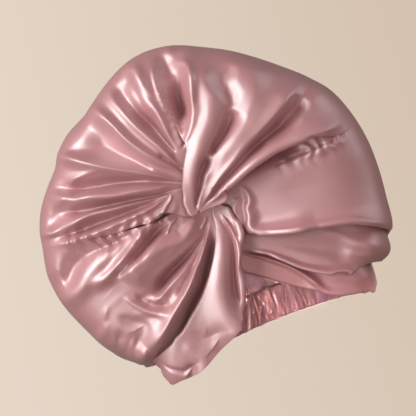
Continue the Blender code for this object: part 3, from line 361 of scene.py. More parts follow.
def napeGathers(angle, reach):
    # pleats that the elastic casing draws into the back
    outline = smoothColumn(pouch["outline"], 1, angle)
    place = np.radians(smoothColumn(pouch["outline"], 3, angle))
    down = np.clip((reach - outline) / backLength(angle), 0.0, 1.0)
    pleat = place * backPleats["number"]
    share, pitch, shift = backPleats["second"]
    wave = np.cos(pleat) + share * np.cos(pleat * pitch + shift)
    share, pitch, sway, swayPitch = backPleats["fine"]
    fine = share * np.cos(pleat * pitch + sway * np.sin(place * swayPitch)) * softStep(down, 0.6, 0.95)
    height, number, shift = backPleats["broad"]
    broad = np.sin(place * number + shift) * np.sin(np.pi * down) * height
    pressed = 1 - backPleats["pressed"] * softStep(down, 0.9, 1.0)
    pleats = backPleats["height"] * (wave + fine) * softStep(down, *backPleats["from"]) * pressed
    return pleats + broad * softStep(down, 0.05, 0.3)


def edgeFromPole(edge, pole, poleReach, tries=30, nearest=0.5):
    # the traced edge with the pull of the pleats' pole taken off
    rows = []
    for reach, angle in edge:
        goal = np.array([reach * math.cos(math.radians(angle)), reach * math.sin(math.radians(angle))])
        plain = goal
        for again in range(tries):
            pull = max(0.0, 1 - math.hypot(*plain) / poleReach) ** 2
            plain = goal - np.array(pole) * pull
        found = math.degrees(math.atan2(plain[1], plain[0]))
        found += 360.0 * round((angle - found) / 360.0)
        rows.append((math.hypot(*plain), found))
    rows.sort()
    kept = [rows[0]]
    for row in rows[1:]:
        if row[0] > kept[-1][0] + nearest:
            kept.append(row)
    return kept


def rollAt(kind, reach):
    rows = np.array(pouch["rolls"][kind])
    return np.interp(reach, rows[:, 0], rows[:, 1]), np.interp(reach, rows[:, 0], rows[:, 2])


def panelForm(panel, across, part):
    # a place of the panel on the plain pouch, and the same place in the flattened front view
    pole, poleReach = panel["pole"]
    first = edgeFromPole(panel["firstEdge"], pole, poleReach)
    second = edgeFromPole(panel["secondEdge"], pole, poleReach)
    top = max(first[-1][0], second[-1][0])
    front, behind = np.clip(part, 0.0, 1.0), np.clip(part - 1.0, 0.0, 1.0)
    startReach = panel["start"][0] + (panel["start"][1] - panel["start"][0]) * across
    table = pouch[panel["outline"]]
    fanStart = pouch["fanStart"]
    isBand = panel["outline"] == "bandOutline"

    def reachOf(outline):
        inner = startReach + (fanStart * outline - startReach) * np.clip(front / fanStart, 0.0, 1.0)
        return np.where(front < fanStart, inner, front * outline)

    def place(angle):
        reach = reachOf(smoothColumn(table, 1, angle)) + behind * backLength(angle)
        turn = np.radians(angle)
        pull = np.maximum(0.0, 1 - reach / poleReach) ** 2
        flatX = reach * np.cos(turn) + pole[0] * pull
        flatZ = reach * np.sin(turn) + pole[1] * pull
        shifted = (np.arctan2(flatZ, flatX) - turn + np.pi) % (2 * np.pi) - np.pi
        angle = angle + np.degrees(shifted)
        return pouchPoint(isBand, angle, np.hypot(flatX, flatZ)), flatX, flatZ, angle

    nominal = reachOf(top)

    def edgeAngle(edge):
        reach = nominal
        for again in range(4):
            angle = smoothColumn(edge, 1, reach)
            reach = reachOf(smoothColumn(table, 1, angle))
        return angle

    low, high = edgeAngle(first), edgeAngle(second)
    trims = []
    for edge, kind in zip((low, high), panel["edges"]):
        radius, turn = rollAt(kind, nominal)
        width = radius * np.sin(np.radians(np.minimum(turn, 90.0))) + pouch["seamGap"]
        perDegree = np.linalg.norm(place(edge + 0.5)[0] - place(edge - 0.5)[0], axis=-1)
        trims.append(np.minimum(width / np.maximum(perDegree, 0.12), (high - low) * 0.2))
    return place(low + trims[0] + (high - low - trims[0] - trims[1]) * across)


clothStyle = {
    "probe": 0.004,  # how far either side the plain form is read for its slope
    "foldsFrom": (1.0, 15.0),  # reach over which the relief comes in
    "dentPasses": 14,  # smoothing of the dents' rims
    "quickPasses": 5,
    "crumple": 0.25,  # fine crumples: height, reach where they come in, cells of the coarse and the fine
    "crumpleFrom": (30.0, 80.0),
    "coarse": (9.0, 26.0, 1.0, 1),  # cell round the knot and outwards, share, seed
    "fine": (4.2, 15.0, 0.5, 8),
    "arc": 95.0,
    "toFront": (0.62, 0.96),  # near the outline the folds rise to the front, which leaves it smooth
    "fromFront": (1.0, 1.25),
}


def panelSurface(panel, across, part):
    style = clothStyle
    point, flatX, flatZ, angle = panelForm(panel, across, part)
    step = style["probe"]
    over = panelForm(panel, across + step, part)[0] - panelForm(panel, across - step, part)[0]
    down = panelForm(panel, across, part + step)[0] - panelForm(panel, across, part - step)[0]
    normal = unitLength(np.cross(over, down))
    outward = np.sum(normal * (point - np.array(pouch["middle"])), -1)
    normal = np.where((outward < 0)[..., None], -normal, normal)
    reach = np.hypot(flatX, flatZ)
    flat = (flatX.ravel(), flatZ.ravel())
    dents = dentRelief(panel["dents"], *flat).reshape(reach.shape)
    dents = softened(dents, style["dentPasses"])
    height = foldRelief(panel["folds"], *flat) + puckerRelief(panel["puckers"], *flat)
    height = (height.reshape(reach.shape) + dents) * softStep(reach, *style["foldsFrom"])
    arc = np.radians(angle) * style["arc"]
    crumple = sum(share * softNoise(arc / cell, reach / outwards, seed)
                  for cell, outwards, share, seed in (style["coarse"], style["fine"]))
    height = height + style["crumple"] * crumple * softStep(reach, *style["crumpleFrom"])
    near, far, begin, stop = panel["depth"]
    sink = near + (far - near) * softStep(reach, begin, stop)
    for centre, spread, lift, start, full in panel["bulges"]:
        sink = sink - lift * np.exp(-((angle - centre) / spread) ** 2) * softStep(reach, start, full)
    gathers = napeGathers(angle, reach) if panel["gathered"] else 0.0
    isBand = panel["outline"] == "bandOutline"
    outline = smoothColumn(pouch["bandOutline" if isBand else "outline"], 1, angle)
    share = reach / outline
    toFront = softStep(share, *style["toFront"]) * (1 - softStep(share, *style["fromFront"]))
    front = np.array([0.0, -1.0, 0.0])
    rising = unitLength(normal * (1 - toFront)[..., None] + front * toFront[..., None])
    return point + normal * (gathers - sink)[..., None] + rising * height[..., None]


def gridNormals(points):
    normal = unitLength(np.cross(np.gradient(points, axis=1), np.gradient(points, axis=0)))
    outward = np.sum(normal * (points - np.array(pouch["middle"])), -1)
    return normal if np.mean(outward) > 0 else -normal


def rolledEdge(points, normals, side, radius, turn, steps):
    # columns that carry the cloth round the edge and under, like the fold of a pleat
    edge, normal = points[:, side], normals[:, side]
    along = unitLength(np.gradient(edge, axis=0))
    away = unitLength(np.cross(normal, along))
    inner = points[:, 1 if side == 0 else -2]
    away = np.where((np.sum(away * (edge - inner), -1) < 0)[:, None], -away, away)
    radius = radius[:, None]
    columns = []
    for index in range(1, steps + 1):
        angle = np.radians(turn)[:, None] * index / steps
        columns.append(edge + radius * (np.sin(angle) * away - (1 - np.cos(angle)) * normal))
    return columns


def rowParts(nearRows, fanRows, backRows):
    near = pouch["fanStart"] * np.linspace(0.0, 1.0, nearRows + 1)
    lean = np.linspace(math.asin(pouch["fanStart"]), math.pi / 2, fanRows + 1)[1:]
    parts = [near, np.sin(lean)]
    if backRows:
        parts.append(1 + np.linspace(0.0, 1.0, backRows + 1)[1:])
    return np.concatenate(parts)


def shellMesh(name, points, wall):
    # a closed sheet: the grid, the same grid set in by the wall, and the strips that join them
    normals = gridNormals(points)
    rows, cols = points.shape[:2]
    both = np.concatenate([points.reshape(-1, 3), (points - normals * wall).reshape(-1, 3)]) / 1000.0
    index = np.arange(rows * cols).reshape(rows, cols)
    shift = rows * cols
    outer = np.stack([index[:-1, :-1], index[:-1, 1:], index[1:, 1:], index[1:, :-1]], -1).reshape(-1, 4)
    inner = outer[:, ::-1] + shift
    ring = np.concatenate([index[0], index[1:, -1], index[-1, -2::-1], index[-2:0:-1, 0]])
    after = np.roll(ring, -1)
    strip = np.stack([after, ring, ring + shift, after + shift], -1)
    faces = np.concatenate([outer, inner, strip])
    corner = both[faces]
    volume = np.sum(np.cross(corner[:, 0], corner[:, 1]) * corner[:, 2])
    volume += np.sum(np.cross(corner[:, 0], corner[:, 2]) * corner[:, 3])
    if volume < 0:
        faces = faces[:, ::-1]
    mesh = bpy.data.meshes.new(name)
    mesh.from_pydata(both.tolist(), [], faces.tolist())
    mesh.polygons.foreach_set("use_smooth", np.ones(len(mesh.polygons), bool))
    mesh.update()
    return mesh


# what a panel has when its own dictionary doesn't say otherwise
plainPanel = {
    "satin": "pouchSatin",
    "outline": "outline",  # which table of the pouch it ends at
    "gathered": True,  # the casing draws pleats into its end
    "pole": ((0.0, 0.0), 60.0),  # where its pleats meet, as x and z from the knot, and how far that pulls
    "puckers": (),
    "dents": (),
    "bulges": (),
}


def dressPanel(panel, rollSteps=6):
    # builds one panel and lets it stand for its node
    panel = {**plainPanel, **panel}
    columns, *rows = panel["grid"]
    parts = rowParts(*rows)
    acrossGrid, partGrid = np.meshgrid(np.linspace(0.0, 1.0, columns + 1), parts)
    points = panelSurface(panel, acrossGrid, partGrid)
    normals = gridNormals(points)
    reach = pouch["fullReach"] * parts
    before, after = (rolledEdge(points, normals, side, *rollAt(kind, reach), rollSteps)
                     for side, kind in zip((0, -1), panel["edges"]))
    points = np.concatenate([np.stack(before[::-1], 1), points, np.stack(after, 1)], 1)
    finishPiece(panel, points, pouch["wall"])


def finishPiece(panel, points, wall):
    name = panel["node"] + "_cloth"
    piece = bpy.data.objects.new(name, shellMesh(name, points, wall))
    bpy.context.scene.collection.objects.link(piece)
    piece.data.materials.append(satinMaterials[panel["satin"]])
    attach(piece, "root")
    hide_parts(panel["node"])
    print(name, "triangles", 2 * len(piece.data.polygons))


weave = {
    "threadScale": 1500.0,
    "threadStretch": 0.16,
    "slubScale": 34.0,
    "slubRoughness": 0.08,  # how much rougher the cloth gets in its duller places
    "bumpDepth": 0.0004,
    "specular": 0.7,
    "sheen": 0.04,
    "sheenRoughness": 0.45,
    "sheenTint": (1.0, 0.86, 0.87, 1.0),
}


def newSocket(group, name, inOut, kind, value=None):
    socket = group.interface.new_socket(name=name, in_out=inOut, socket_type=kind)
    if value is not None:
        socket.default_value = value
    return socket


def satinWeaveGroup():
    # fine threads and the slow change of tone that satin has: colour, roughness and height come out
    group = bpy.data.node_groups.new("satinWeave", "ShaderNodeTree")
    newSocket(group, "Cloth", "INPUT", "NodeSocketColor", (0.5, 0.2, 0.2, 1.0))
    newSocket(group, "Deep", "INPUT", "NodeSocketColor", (0.3, 0.1, 0.1, 1.0))
    newSocket(group, "Tone", "INPUT", "NodeSocketFloat", 0.3)
    newSocket(group, "Gloss", "INPUT", "NodeSocketFloat", 0.3)
    newSocket(group, "Thread", "INPUT", "NodeSocketFloat", weave["threadScale"])
    newSocket(group, "Colour", "OUTPUT", "NodeSocketColor")
    newSocket(group, "Roughness", "OUTPUT", "NodeSocketFloat")
    newSocket(group, "Height", "OUTPUT", "NodeSocketFloat")
    nodes, links = group.nodes, group.links
    given, out = nodes.new("NodeGroupInput"), nodes.new("NodeGroupOutput")
    place = nodes.new("ShaderNodeTexCoord")
    squeeze = nodes.new("ShaderNodeMapping")
    squeeze.inputs["Scale"].default_value = (1.0, weave["threadStretch"], weave["threadStretch"])
    links.new(place.outputs["Object"], squeeze.inputs["Vector"])
    thread = nodes.new("ShaderNodeTexNoise")
    thread.inputs["Detail"].default_value = 2.0
    links.new(squeeze.outputs["Vector"], thread.inputs["Vector"])
    links.new(given.outputs["Thread"], thread.inputs["Scale"])
    slub = nodes.new("ShaderNodeTexNoise")
    slub.inputs["Scale"].default_value = weave["slubScale"]
    slub.inputs["Detail"].default_value = 3.0
    links.new(place.outputs["Object"], slub.inputs["Vector"])
    tone = nodes.new("ShaderNodeMath")
    tone.operation = "MULTIPLY"
    links.new(slub.outputs["Fac"], tone.inputs[0])
    links.new(given.outputs["Tone"], tone.inputs[1])
    mix = nodes.new("ShaderNodeMix")
    mix.data_type = "RGBA"
    links.new(tone.outputs[0], mix.inputs["Factor"])
    links.new(given.outputs["Cloth"], mix.inputs["A"])
    links.new(given.outputs["Deep"], mix.inputs["B"])
    links.new(mix.outputs["Result"], out.inputs["Colour"])
    rough = nodes.new("ShaderNodeMath")
    rough.operation = "MULTIPLY_ADD"
    rough.inputs[1].default_value = weave["slubRoughness"]
    links.new(slub.outputs["Fac"], rough.inputs[0])
    links.new(given.outputs["Gloss"], rough.inputs[2])
    links.new(rough.outputs[0], out.inputs["Roughness"])
    links.new(thread.outputs["Fac"], out.inputs["Height"])
    return group


# cloth and deep are the colours of the threads and of the duller places between them, tone is how
# much of the second shows, and gloss is the roughness
satinLooks = {
    "pouchSatin": {"cloth": (0.385, 0.158, 0.164), "deep": (0.315, 0.115, 0.122), "gloss": 0.47,
                   "tone": 0.35, "bump": 0.09, "index": 2.4},
    "bandSatin": {"cloth": (0.43, 0.165, 0.17), "deep": (0.35, 0.12, 0.126), "gloss": 0.47,
                  "tone": 0.35, "bump": 0.09, "index": 2.1},
    # the casing's cloth and deep colours are lighter than the pouch's: painted light that makes up for the
    # shade it lies in behind the band
    "casingSatin": {"cloth": (0.44, 0.17, 0.185), "deep": (0.36, 0.12, 0.14), "gloss": 0.36,
                    "tone": 0.4, "bump": 0.06, "index": 1.9},
}


def satinMaterial(name, look, group):
    material = bpy.data.materials.new(name)
    material.use_nodes = True
    nodes, links = material.node_tree.nodes, material.node_tree.links
    shader = nodes["Principled BSDF"]
    shader.inputs["IOR"].default_value = look["index"]
    shader.inputs["Specular IOR Level"].default_value = weave["specular"]
    shader.inputs["Sheen Weight"].default_value = weave["sheen"]
    shader.inputs["Sheen Roughness"].default_value = weave["sheenRoughness"]
    shader.inputs["Sheen Tint"].default_value = weave["sheenTint"]
    satin = nodes.new("ShaderNodeGroup")
    satin.node_tree = group
    satin.inputs["Cloth"].default_value = (*look["cloth"], 1.0)
    satin.inputs["Deep"].default_value = (*look["deep"], 1.0)
    satin.inputs["Gloss"].default_value = look["gloss"]
    satin.inputs["Tone"].default_value = look["tone"]
    links.new(satin.outputs["Colour"], shader.inputs["Base Color"])
    links.new(satin.outputs["Roughness"], shader.inputs["Roughness"])
    bump = nodes.new("ShaderNodeBump")
    bump.inputs["Strength"].default_value = look["bump"]
    bump.inputs["Distance"].default_value = weave["bumpDepth"]
    links.new(satin.outputs["Height"], bump.inputs["Height"])
    links.new(bump.outputs["Normal"], shader.inputs["Normal"])
    return material


weaveGroup = satinWeaveGroup()
satinMaterials = {name: satinMaterial(name, look, weaveGroup) for name, look in satinLooks.items()}
print("satin ready")

# The tables of the panels. An edge runs outwards as (reach, angle). A run and a loop go as (angle, reach).
# depth is how far the cloth lies under the plain form near the knot and further out, and the reach
# over which that changes; start is the reach of its first row at either edge; grid is its columns,
# then its rows near the knot, in the fan and down the back; cut and cutArea are its flat size.

# folds that run across a seam shape both of its panels
topSeamFolds = (
    (-8.5, 7, 7, 2.2, ((87, 60), (85.5, 72), (84, 86), (83, 102), (82.5, 112))),
    (2.5, 3.5, 3.5, 2, ((89, 120), (90.5, 108), (91, 92), (91, 80))),
)
leftSeamFolds = (
    (4, 2.4, 2.6, 2, ((142, 36), (149, 41), (155, 46), (161, 58), (165.5, 76), (168, 92), (169, 108))),
    (3.5, 2, 2.2, 2, ((138, 33), (146, 33.5), (155, 36.5), (164, 39.5))),
    (4.5, 3.2, 3, 2, ((156, 36), (163, 43), (170, 52), (178, 62), (184, 75), (189, 95))),
    (-3, 4, 4, 2, ((167, 52), (172, 64), (176, 78), (178, 90))),
)
rightSeamFolds = (
    (2, 4, 4, 2, ((6, 72), (5, 84), (4, 98))),
)
# small gathers that the seam stitches draw in
topSeamPuckers = (
    (1.4, 3.6, 6.0, 4, ((90.6, 50), (89.8, 62), (89.2, 76), (88.6, 92), (88.5, 104))),
)
leftSeamPuckers = (
    (2.6, 7.5, 9.4, 2, ((168.4, 20), (169.4, 36), (170.2, 54), (170.8, 74), (170.6, 92), (170, 108),
        (169.6, 122))),
)
rightSeamPuckers = (
    (2.8, 6.5, 9.4, 6, ((11, 58), (9.3, 68), (8, 80), (6.5, 94), (5.4, 108), (5, 120))),
)

crownLeft = {
    "node": "crown_left",
    "slot": "crown_left_satin",
    "cut": (0.33, 0.28),
    "cutArea": 0.068,
    "restsOn": ["crown_right_cloth"],
    "grid": (210, 66, 88, 44),
    "pole": ((-5.0, 19.0), 70.0),
    "start": (14.0, 14.0),
    "edges": ("seam", "seamUnder"),
    "depth": (2.0, 0.0, 34.0, 66.0),
    "firstEdge": (
        (20, 100), (30, 91), (40, 88), (50, 88.5), (58, 90.2), (66, 89.5), (80, 89), (100, 88.5),
        (133, 88),
    ),
    "secondEdge": (
        (12, 170), (25, 168.5), (50, 170), (82, 170.8), (110, 170), (136, 169),
    ),
    "puckers": topSeamPuckers + leftSeamPuckers,
    "folds": topSeamFolds + leftSeamFolds + (
        (5, 5, 4.5, 2, ((98, 58), (97, 70), (96, 84), (96, 100), (95.5, 118))),
        (-2.5, 4.5, 4.5, 2, ((100.5, 92), (100, 100), (99.5, 110))),
        (-5, 6, 5, 2, ((101, 52), (101.5, 64), (103, 80), (104.5, 96), (105, 112))),
        (5.5, 4, 5, 2, ((104, 40), (106, 49), (106.5, 62), (108, 78), (108.5, 94), (107.5, 112))),
        (-3.5, 1.8, 1.8, 2, ((103, 37), (106.5, 43), (109, 50), (111.5, 60))),
        (6.5, 4.5, 3.6, 1.8, ((106, 36), (109.6, 43), (112.5, 50), (115, 58), (116.5, 68), (117.3, 86),
            (116.5, 99), (116.2, 114))),
        (6.5, 3, 3.6, 1.7, ((115, 32.5), (121, 40), (124.5, 47), (128.5, 57), (132, 70), (135, 86),
            (136.5, 104), (137, 120))),
        (3, 3, 3, 2, ((137, 90), (140, 100), (143.5, 109), (147, 118))),
        (-7, 3, 3, 2, ((118.5, 31), (123, 36), (129, 45), (133, 54), (138, 68), (142, 84), (145.5, 98),
            (148, 112))),
        (6, 3, 3.6, 2, ((122, 29.5), (125.5, 34.5), (131, 40), (136.5, 46), (140.5, 53), (145, 64),
            (149, 77), (151, 94), (152, 110))),
        (-8, 2.2, 2.2, 2, ((125.5, 29.5), (132, 33), (138.5, 38), (144, 45), (148, 54), (151.5, 66),
            (154, 80), (157, 104))),
        (4.5, 2, 2.2, 1.8, ((127, 30), (136, 35), (142, 40), (147.5, 49), (151.5, 60), (156.5, 76.5),
            (159, 95), (164, 115), (165, 127))),
        (-6.5, 2.6, 3, 2, ((140, 36), (147, 43), (152.5, 50), (157.5, 60), (160.5, 70), (164, 90),
            (166, 111))),
        (-4, 8, 8, 2, ((156, 112), (158, 122), (160, 130))),
        (-3, 6, 6, 2, ((133, 112), (134.5, 120), (136, 127))),
    ),
    "dents": (
        (12, 8, ((108.6, 122.2), (103.4, 124.5), (98.3, 124.8), (95.4, 124.6), (96.5, 119.6), (99.2, 114.6),
            (100.9, 108.2), (100.9, 101.7), (99.4, 94.9), (97, 87.6), (96.4, 80.8), (96.9, 71.5), (97.5,
            61.8), (98, 54), (101.3, 53.2), (105.5, 62.5), (107.6, 73.3), (108.4, 84.6), (108.7, 96.4),
            (109.4, 107.4), (109.9, 117.5))),
        (4.5, 4, ((95.1, 112.5), (94.3, 107.6), (93.8, 101.7), (93.4, 95.3), (94.3, 91.4), (96.8, 95), (98.6,
            100.4), (99, 105.9), (97.8, 110.1))),
        (16.5, 12, ((135.4, 123.8), (132, 122), (128.2, 117), (124.9, 117.3), (122.1, 117.5), (119.9, 114.5),
            (116.6, 108.1), (116.4, 98.1), (117.6, 86.3), (119.6, 73.6), (123, 56), (126, 52), (128.2, 67),
            (131.8, 79.6), (133.7, 90.3), (134.6, 99.3), (135.3, 109.5), (136.1, 119.5))),
        (12, 7, ((133.3, 64.2), (138.3, 81.4), (141.6, 95.5), (144.2, 106.7), (147.5, 113.6), (151.2, 116.8),
            (154.6, 118.4), (155.8, 113.4), (153.9, 103.5), (150.8, 97.9), (148.3, 88.3), (145.4, 74.9),
            (139.3, 61.9), (130, 54))),
        (6, 2.5, ((149.9, 59.6), (153, 72.7), (156.1, 87.5), (157.5, 99.5), (158.1, 112.5), (157, 117.4),
            (156.6, 111.4), (155.5, 99.5), (153.5, 87.6), (150.6, 72.9), (146.6, 60.1))),
        (12, 8, ((156.1, 124.3), (157, 117.4), (158.6, 110.5), (161, 114.8), (163.5, 122.4), (165, 127.9),
            (163.9, 131.1), (160.8, 131.3), (158.3, 129.4))),
        (7.5, 4, ((166.4, 111.2), (164, 108.5), (161.2, 100.9), (159.3, 89.7), (157.6, 77.6), (153.7, 59.3),
            (149.5, 50), (158, 59.3), (162.4, 73.1), (164.7, 86.5), (166.5, 99.1), (168, 105.8), (169,
            107.6))),
    ),
}

crownRight = {
    "node": "crown_right",
    "slot": "crown_right_satin",
    "cut": (0.34, 0.27),
    "cutArea": 0.064,
    "restsOn": ["crown_left_cloth"],
    "grid": (216, 70, 88, 44),
    "pole": ((-12.6, 1.3), 60.0),
    "start": (1.4, 1.4),
    "edges": ("lobeRight", "lobeLeft"),
    "depth": (-6.0, 0.0, 42.0, 80.0),
    "firstEdge": (
        (3.1, 9), (7, 1), (10.6, 0), (13.5, 0), (16.4, 13), (18.6, 28), (22, 30.5), (29.6, 27), (38, 24.5),
        (46.6, 21.8), (57.2, 19), (65.5, 17.4), (77, 14.5), (93, 10.8), (104, 7.6), (112, 6), (132, 6),
    ),
    "secondEdge": (
        (17.7, 181.4), (20.1, 167), (23.8, 143), (29, 124), (32.6, 114.5), (38, 105), (43.6, 97.6),
        (50, 91.5), (58, 90.2), (66, 89.5), (80, 89), (100, 88.5), (133, 88),
    ),
    "puckers": topSeamPuckers,
    "folds": topSeamFolds + rightSeamFolds + (
        (6, 9, 8, 2, ((150, 17), (118, 22), (100, 30), (88, 38), (80, 46), (74, 57), (68, 70), (67, 85),
            (70, 102))),
        (3.5, 3, 4, 2, ((92, 50), (87, 57), (82, 64), (78.5, 71), (76.7, 78), (76.9, 86), (77.4, 96))),
        (-8, 3, 3.2, 2, ((159, 14), (134, 15), (110, 18), (94, 23), (84, 29), (76, 35), (70, 42))),
        (-8, 4.5, 8, 2, ((69, 42), (64, 50), (59, 60), (56, 70), (54, 80))),
        (2.5, 2.6, 4, 2, ((159, 13), (129, 14.5), (105, 18), (92, 23), (81, 28), (75, 33))),
        (5, 12, 9, 2, ((62, 30), (54, 44), (48, 60), (46, 76), (47, 92), (50, 110))),
        (5.5, 8, 2.6, 1.5, ((157, 11), (125, 9.3), (84, 11.6), (62, 18), (49, 26), (42.4, 34.5), (38, 44),
            (36, 57), (34, 72), (32, 86), (31, 101))),
        (-7.5, 2.4, 3.4, 2, ((145, 8.7), (111, 7.7), (80, 10), (61, 15), (50, 21), (43.8, 26.7), (39, 33),
            (36, 40), (33.7, 49), (31.5, 60), (30, 70))),
        (-6, 5, 7, 2, ((31, 54), (29, 64), (27, 74), (26, 85), (26.5, 94))),
        (5.5, 6, 3, 1.6, ((162, 8), (130, 5.4), (77, 5.6), (43, 11.3), (37, 15.5), (32, 21), (28.5, 28),
            (26.5, 37), (23.5, 47), (21, 57), (19, 68), (16, 80), (12.5, 95), (10, 108))),
        (-3, 12, 12, 2, ((63, 88), (66, 104), (68, 118))),
        (3, 7, 8, 2, ((20, 92), (22, 106), (23, 122))),
        (3, 4, 4, 2, ((80, 68), (77.5, 84), (75.5, 100), (76.5, 114), (81, 122))),
    ),
    "dents": (
        (16.5, 7, ((78, 116.4), (76.2, 112.7), (75.9, 105.9), (76.8, 97.1), (77.7, 88.2), (78, 79.2), (80.8,
            73.9), (84, 74.5), (87.7, 68.6), (88.7, 70.4), (88.8, 79.5), (88.5, 88.3), (88, 99.6), (86.8,
            105.2), (83.6, 109.5), (80.4, 114.5))),
        (7.5, 12, ((68.5, 109.6), (63.9, 114.8), (58, 115.9), (54.7, 109.4), (55, 100.2), (51.7, 92.3), (51.6,
            83), (55.3, 78.8), (60.5, 82.3), (65.2, 87.9), (68.9, 94), (69.9, 101.6))),
        (9, 4, ((54.8, 75.2), (51.9, 72.2), (51, 65.5), (52.6, 56.6), (57.5, 48.9), (65.3, 40.9), (69.1,
            46.9), (62.5, 56.7), (58.6, 67.6))),
        (12, 5, ((29.2, 100.4), (26, 94.2), (23.9, 86.3), (24.5, 78.5), (26.4, 68.6), (30, 57.9), (33.5,
            46.7), (36.4, 47.9), (34.1, 58.7), (32.4, 72.4), (31.3, 86), (30.3, 95.4))),
    ),
}

lowerPleats = {
    "node": "lower_pleats",
    "slot": "lower_pleats_satin",
    "cut": (0.24, 0.19),
    "cutArea": 0.033,
    "restsOn": ["crown_left_cloth"],
    "grid": (190, 66, 88, 40),
    "pole": ((3.5, 4.5), 40.0),
    "start": (3.0, 3.0),
    "edges": ("seam", "plain"),
    "depth": (5.5, 0.0, 34.0, 66.0),
    "firstEdge": (
        (3, 150), (12, 156), (24, 160.5), (33, 165), (41, 169.2), (50, 170.2), (82, 170.8), (110, 170),
        (136, 169),
    ),
    "secondEdge": (
        (2, 275), (12, 268), (25, 258), (40, 250), (60, 246), (75, 242.5), (90, 239), (105, 234),
        (118, 229.2), (133, 225.2),
    ),
    "puckers": leftSeamPuckers,
    "folds": leftSeamFolds + (
        (-4.5, 4.5, 4.5, 2, ((172, 40), (180, 50), (186, 62), (190, 74))),
        (3, 2, 2, 2, ((170, 27), (174, 30), (178, 35), (186, 41))),
        (4.5, 6, 6, 2, ((176, 66), (179, 80), (182, 96), (185, 112), (187.5, 127))),
        (-5, 10, 9, 2, ((177, 108), (180, 119), (183, 128))),
        (8, 8, 7, 2, ((190, 10), (196, 18), (202, 27), (203, 34), (198, 42), (194, 52), (192, 64), (192, 78),
            (194, 92))),
        (3, 8, 6, 2, ((207, 42), (203, 56), (201, 70), (200, 86))),
        (-7.5, 5, 3.4, 2, ((224, 8), (229, 13), (229, 19), (226.5, 25), (222.5, 34), (219, 43), (215, 53),
            (212, 66), (212, 82))),
        (3, 1.8, 1.8, 2, ((214, 7), (219, 11), (218.5, 17))),
        (5, 2.6, 2.4, 1.8, ((230, 20), (227, 26), (224.5, 33), (223, 44), (221, 55), (217.3, 69.5),
            (215.5, 82), (211, 87))),
        (-6, 2.4, 2.6, 2, ((234, 22), (231, 33), (229.5, 43), (227.5, 52), (226, 66), (225, 76))),
        (-4, 4, 4, 2, ((204, 90), (211, 91), (218, 88), (223, 83))),
        (3.5, 3.5, 3.5, 2, ((201, 98), (208, 97), (215, 95), (221, 91), (225, 87))),
        (8, 3, 4, 1.8, ((237, 11), (235, 18), (234.3, 27), (233.2, 37), (231, 48), (230, 63), (228, 82),
            (225.6, 107), (224.6, 124), (222, 132))),
        (-13, 12, 4.5, 2, ((246, 10), (248, 17), (246.5, 26), (244.5, 38), (242, 50), (240, 63), (235.5, 80),
            (232.6, 97), (229.6, 113), (226.5, 131))),
        (-2.2, 6, 6, 2, ((205, 112), (211, 109), (217, 106))),
        (2, 5, 5, 2, ((208, 102), (214, 101), (219, 104), (221, 112))),
        (2.2, 5, 5, 2, ((199, 112), (202, 122), (205, 130))),
        (2, 4.2, 4.2, 2, ((215, 116), (216, 126), (217, 133))),
        (-1.6, 5, 5, 2, ((210, 120), (211, 128), (212, 133))),
    ),
    "dents": (
        (15, 12, ((172.3, 125.2), (174.8, 129), (178, 131.8), (181.8, 132.1), (185.4, 130.1), (185.6,
            125.9), (183.6, 117.2), (181, 107.6), (179, 98.1), (177.9, 87.9), (176.3, 78.5), (173.8, 73.1),
            (173, 82), (173.2, 92), (172.4, 101.6), (171.6, 109.3), (172.1, 118))),
        (9, 4, ((189.9, 94.4), (188.4, 90.9), (186.2, 82.4), (183.9, 71.6), (180.9, 62.7), (176.7, 56.6),
            (172.6, 47.7), (171.6, 40), (173, 36), (183.5, 39.9), (187.5, 49), (190, 60), (192, 69.3),
            (193.1, 79.3), (193.5, 87.8), (192.7, 92.8))),
        (10.5, 5, ((212.9, 83.8), (209.8, 76.1), (208.4, 68.5), (208.6, 58.3), (210.4, 47.1), (215.5, 35.2),
            (221.9, 35), (219.9, 49.8), (217.2, 61.9), (215, 73.5), (214, 81.8))),
        (7.5, 4, ((206.3, 95.3), (205.7, 87.9), (207.9, 83.1), (211.9, 85.7), (215, 87.4), (219.2, 83.9),
            (223.1, 78.8), (224.4, 70.3), (225.2, 61.5), (226.4, 67.7), (225.8, 77.3), (224.8, 82.5),
            (220.8, 86.8), (215.6, 90.5), (211.1, 92.4))),
        (5, 6, ((204.6, 112.6), (206, 108.3), (209.7, 106.8), (212.9, 105.6), (217, 105.7), (216.7, 109.7),
            (213.5, 113.4), (210.1, 116.1), (207, 115.8))),
        (4.5, 6, ((207.4, 124.4), (208, 119.4), (210.4, 119.6), (212.5, 123.3), (212.9, 128.3), (213, 131),
            (211, 129.4), (208.9, 127.9))),
        (2.5, 4, ((200.4, 121.9), (201.5, 118.5), (203.5, 120.1), (204.2, 126.1), (202.6, 126.2))),
        (2.5, 4, ((211.7, 99.4), (214.4, 95), (219.5, 93.5), (220.1, 97.5), (216.7, 101.5), (213.7, 101.9))),
        (4, 4, ((221.9, 125.7), (222.2, 119.3), (223.9, 111), (224.8, 107.7), (224.7, 112.9), (223.3,
            122.6))),
    ),
}

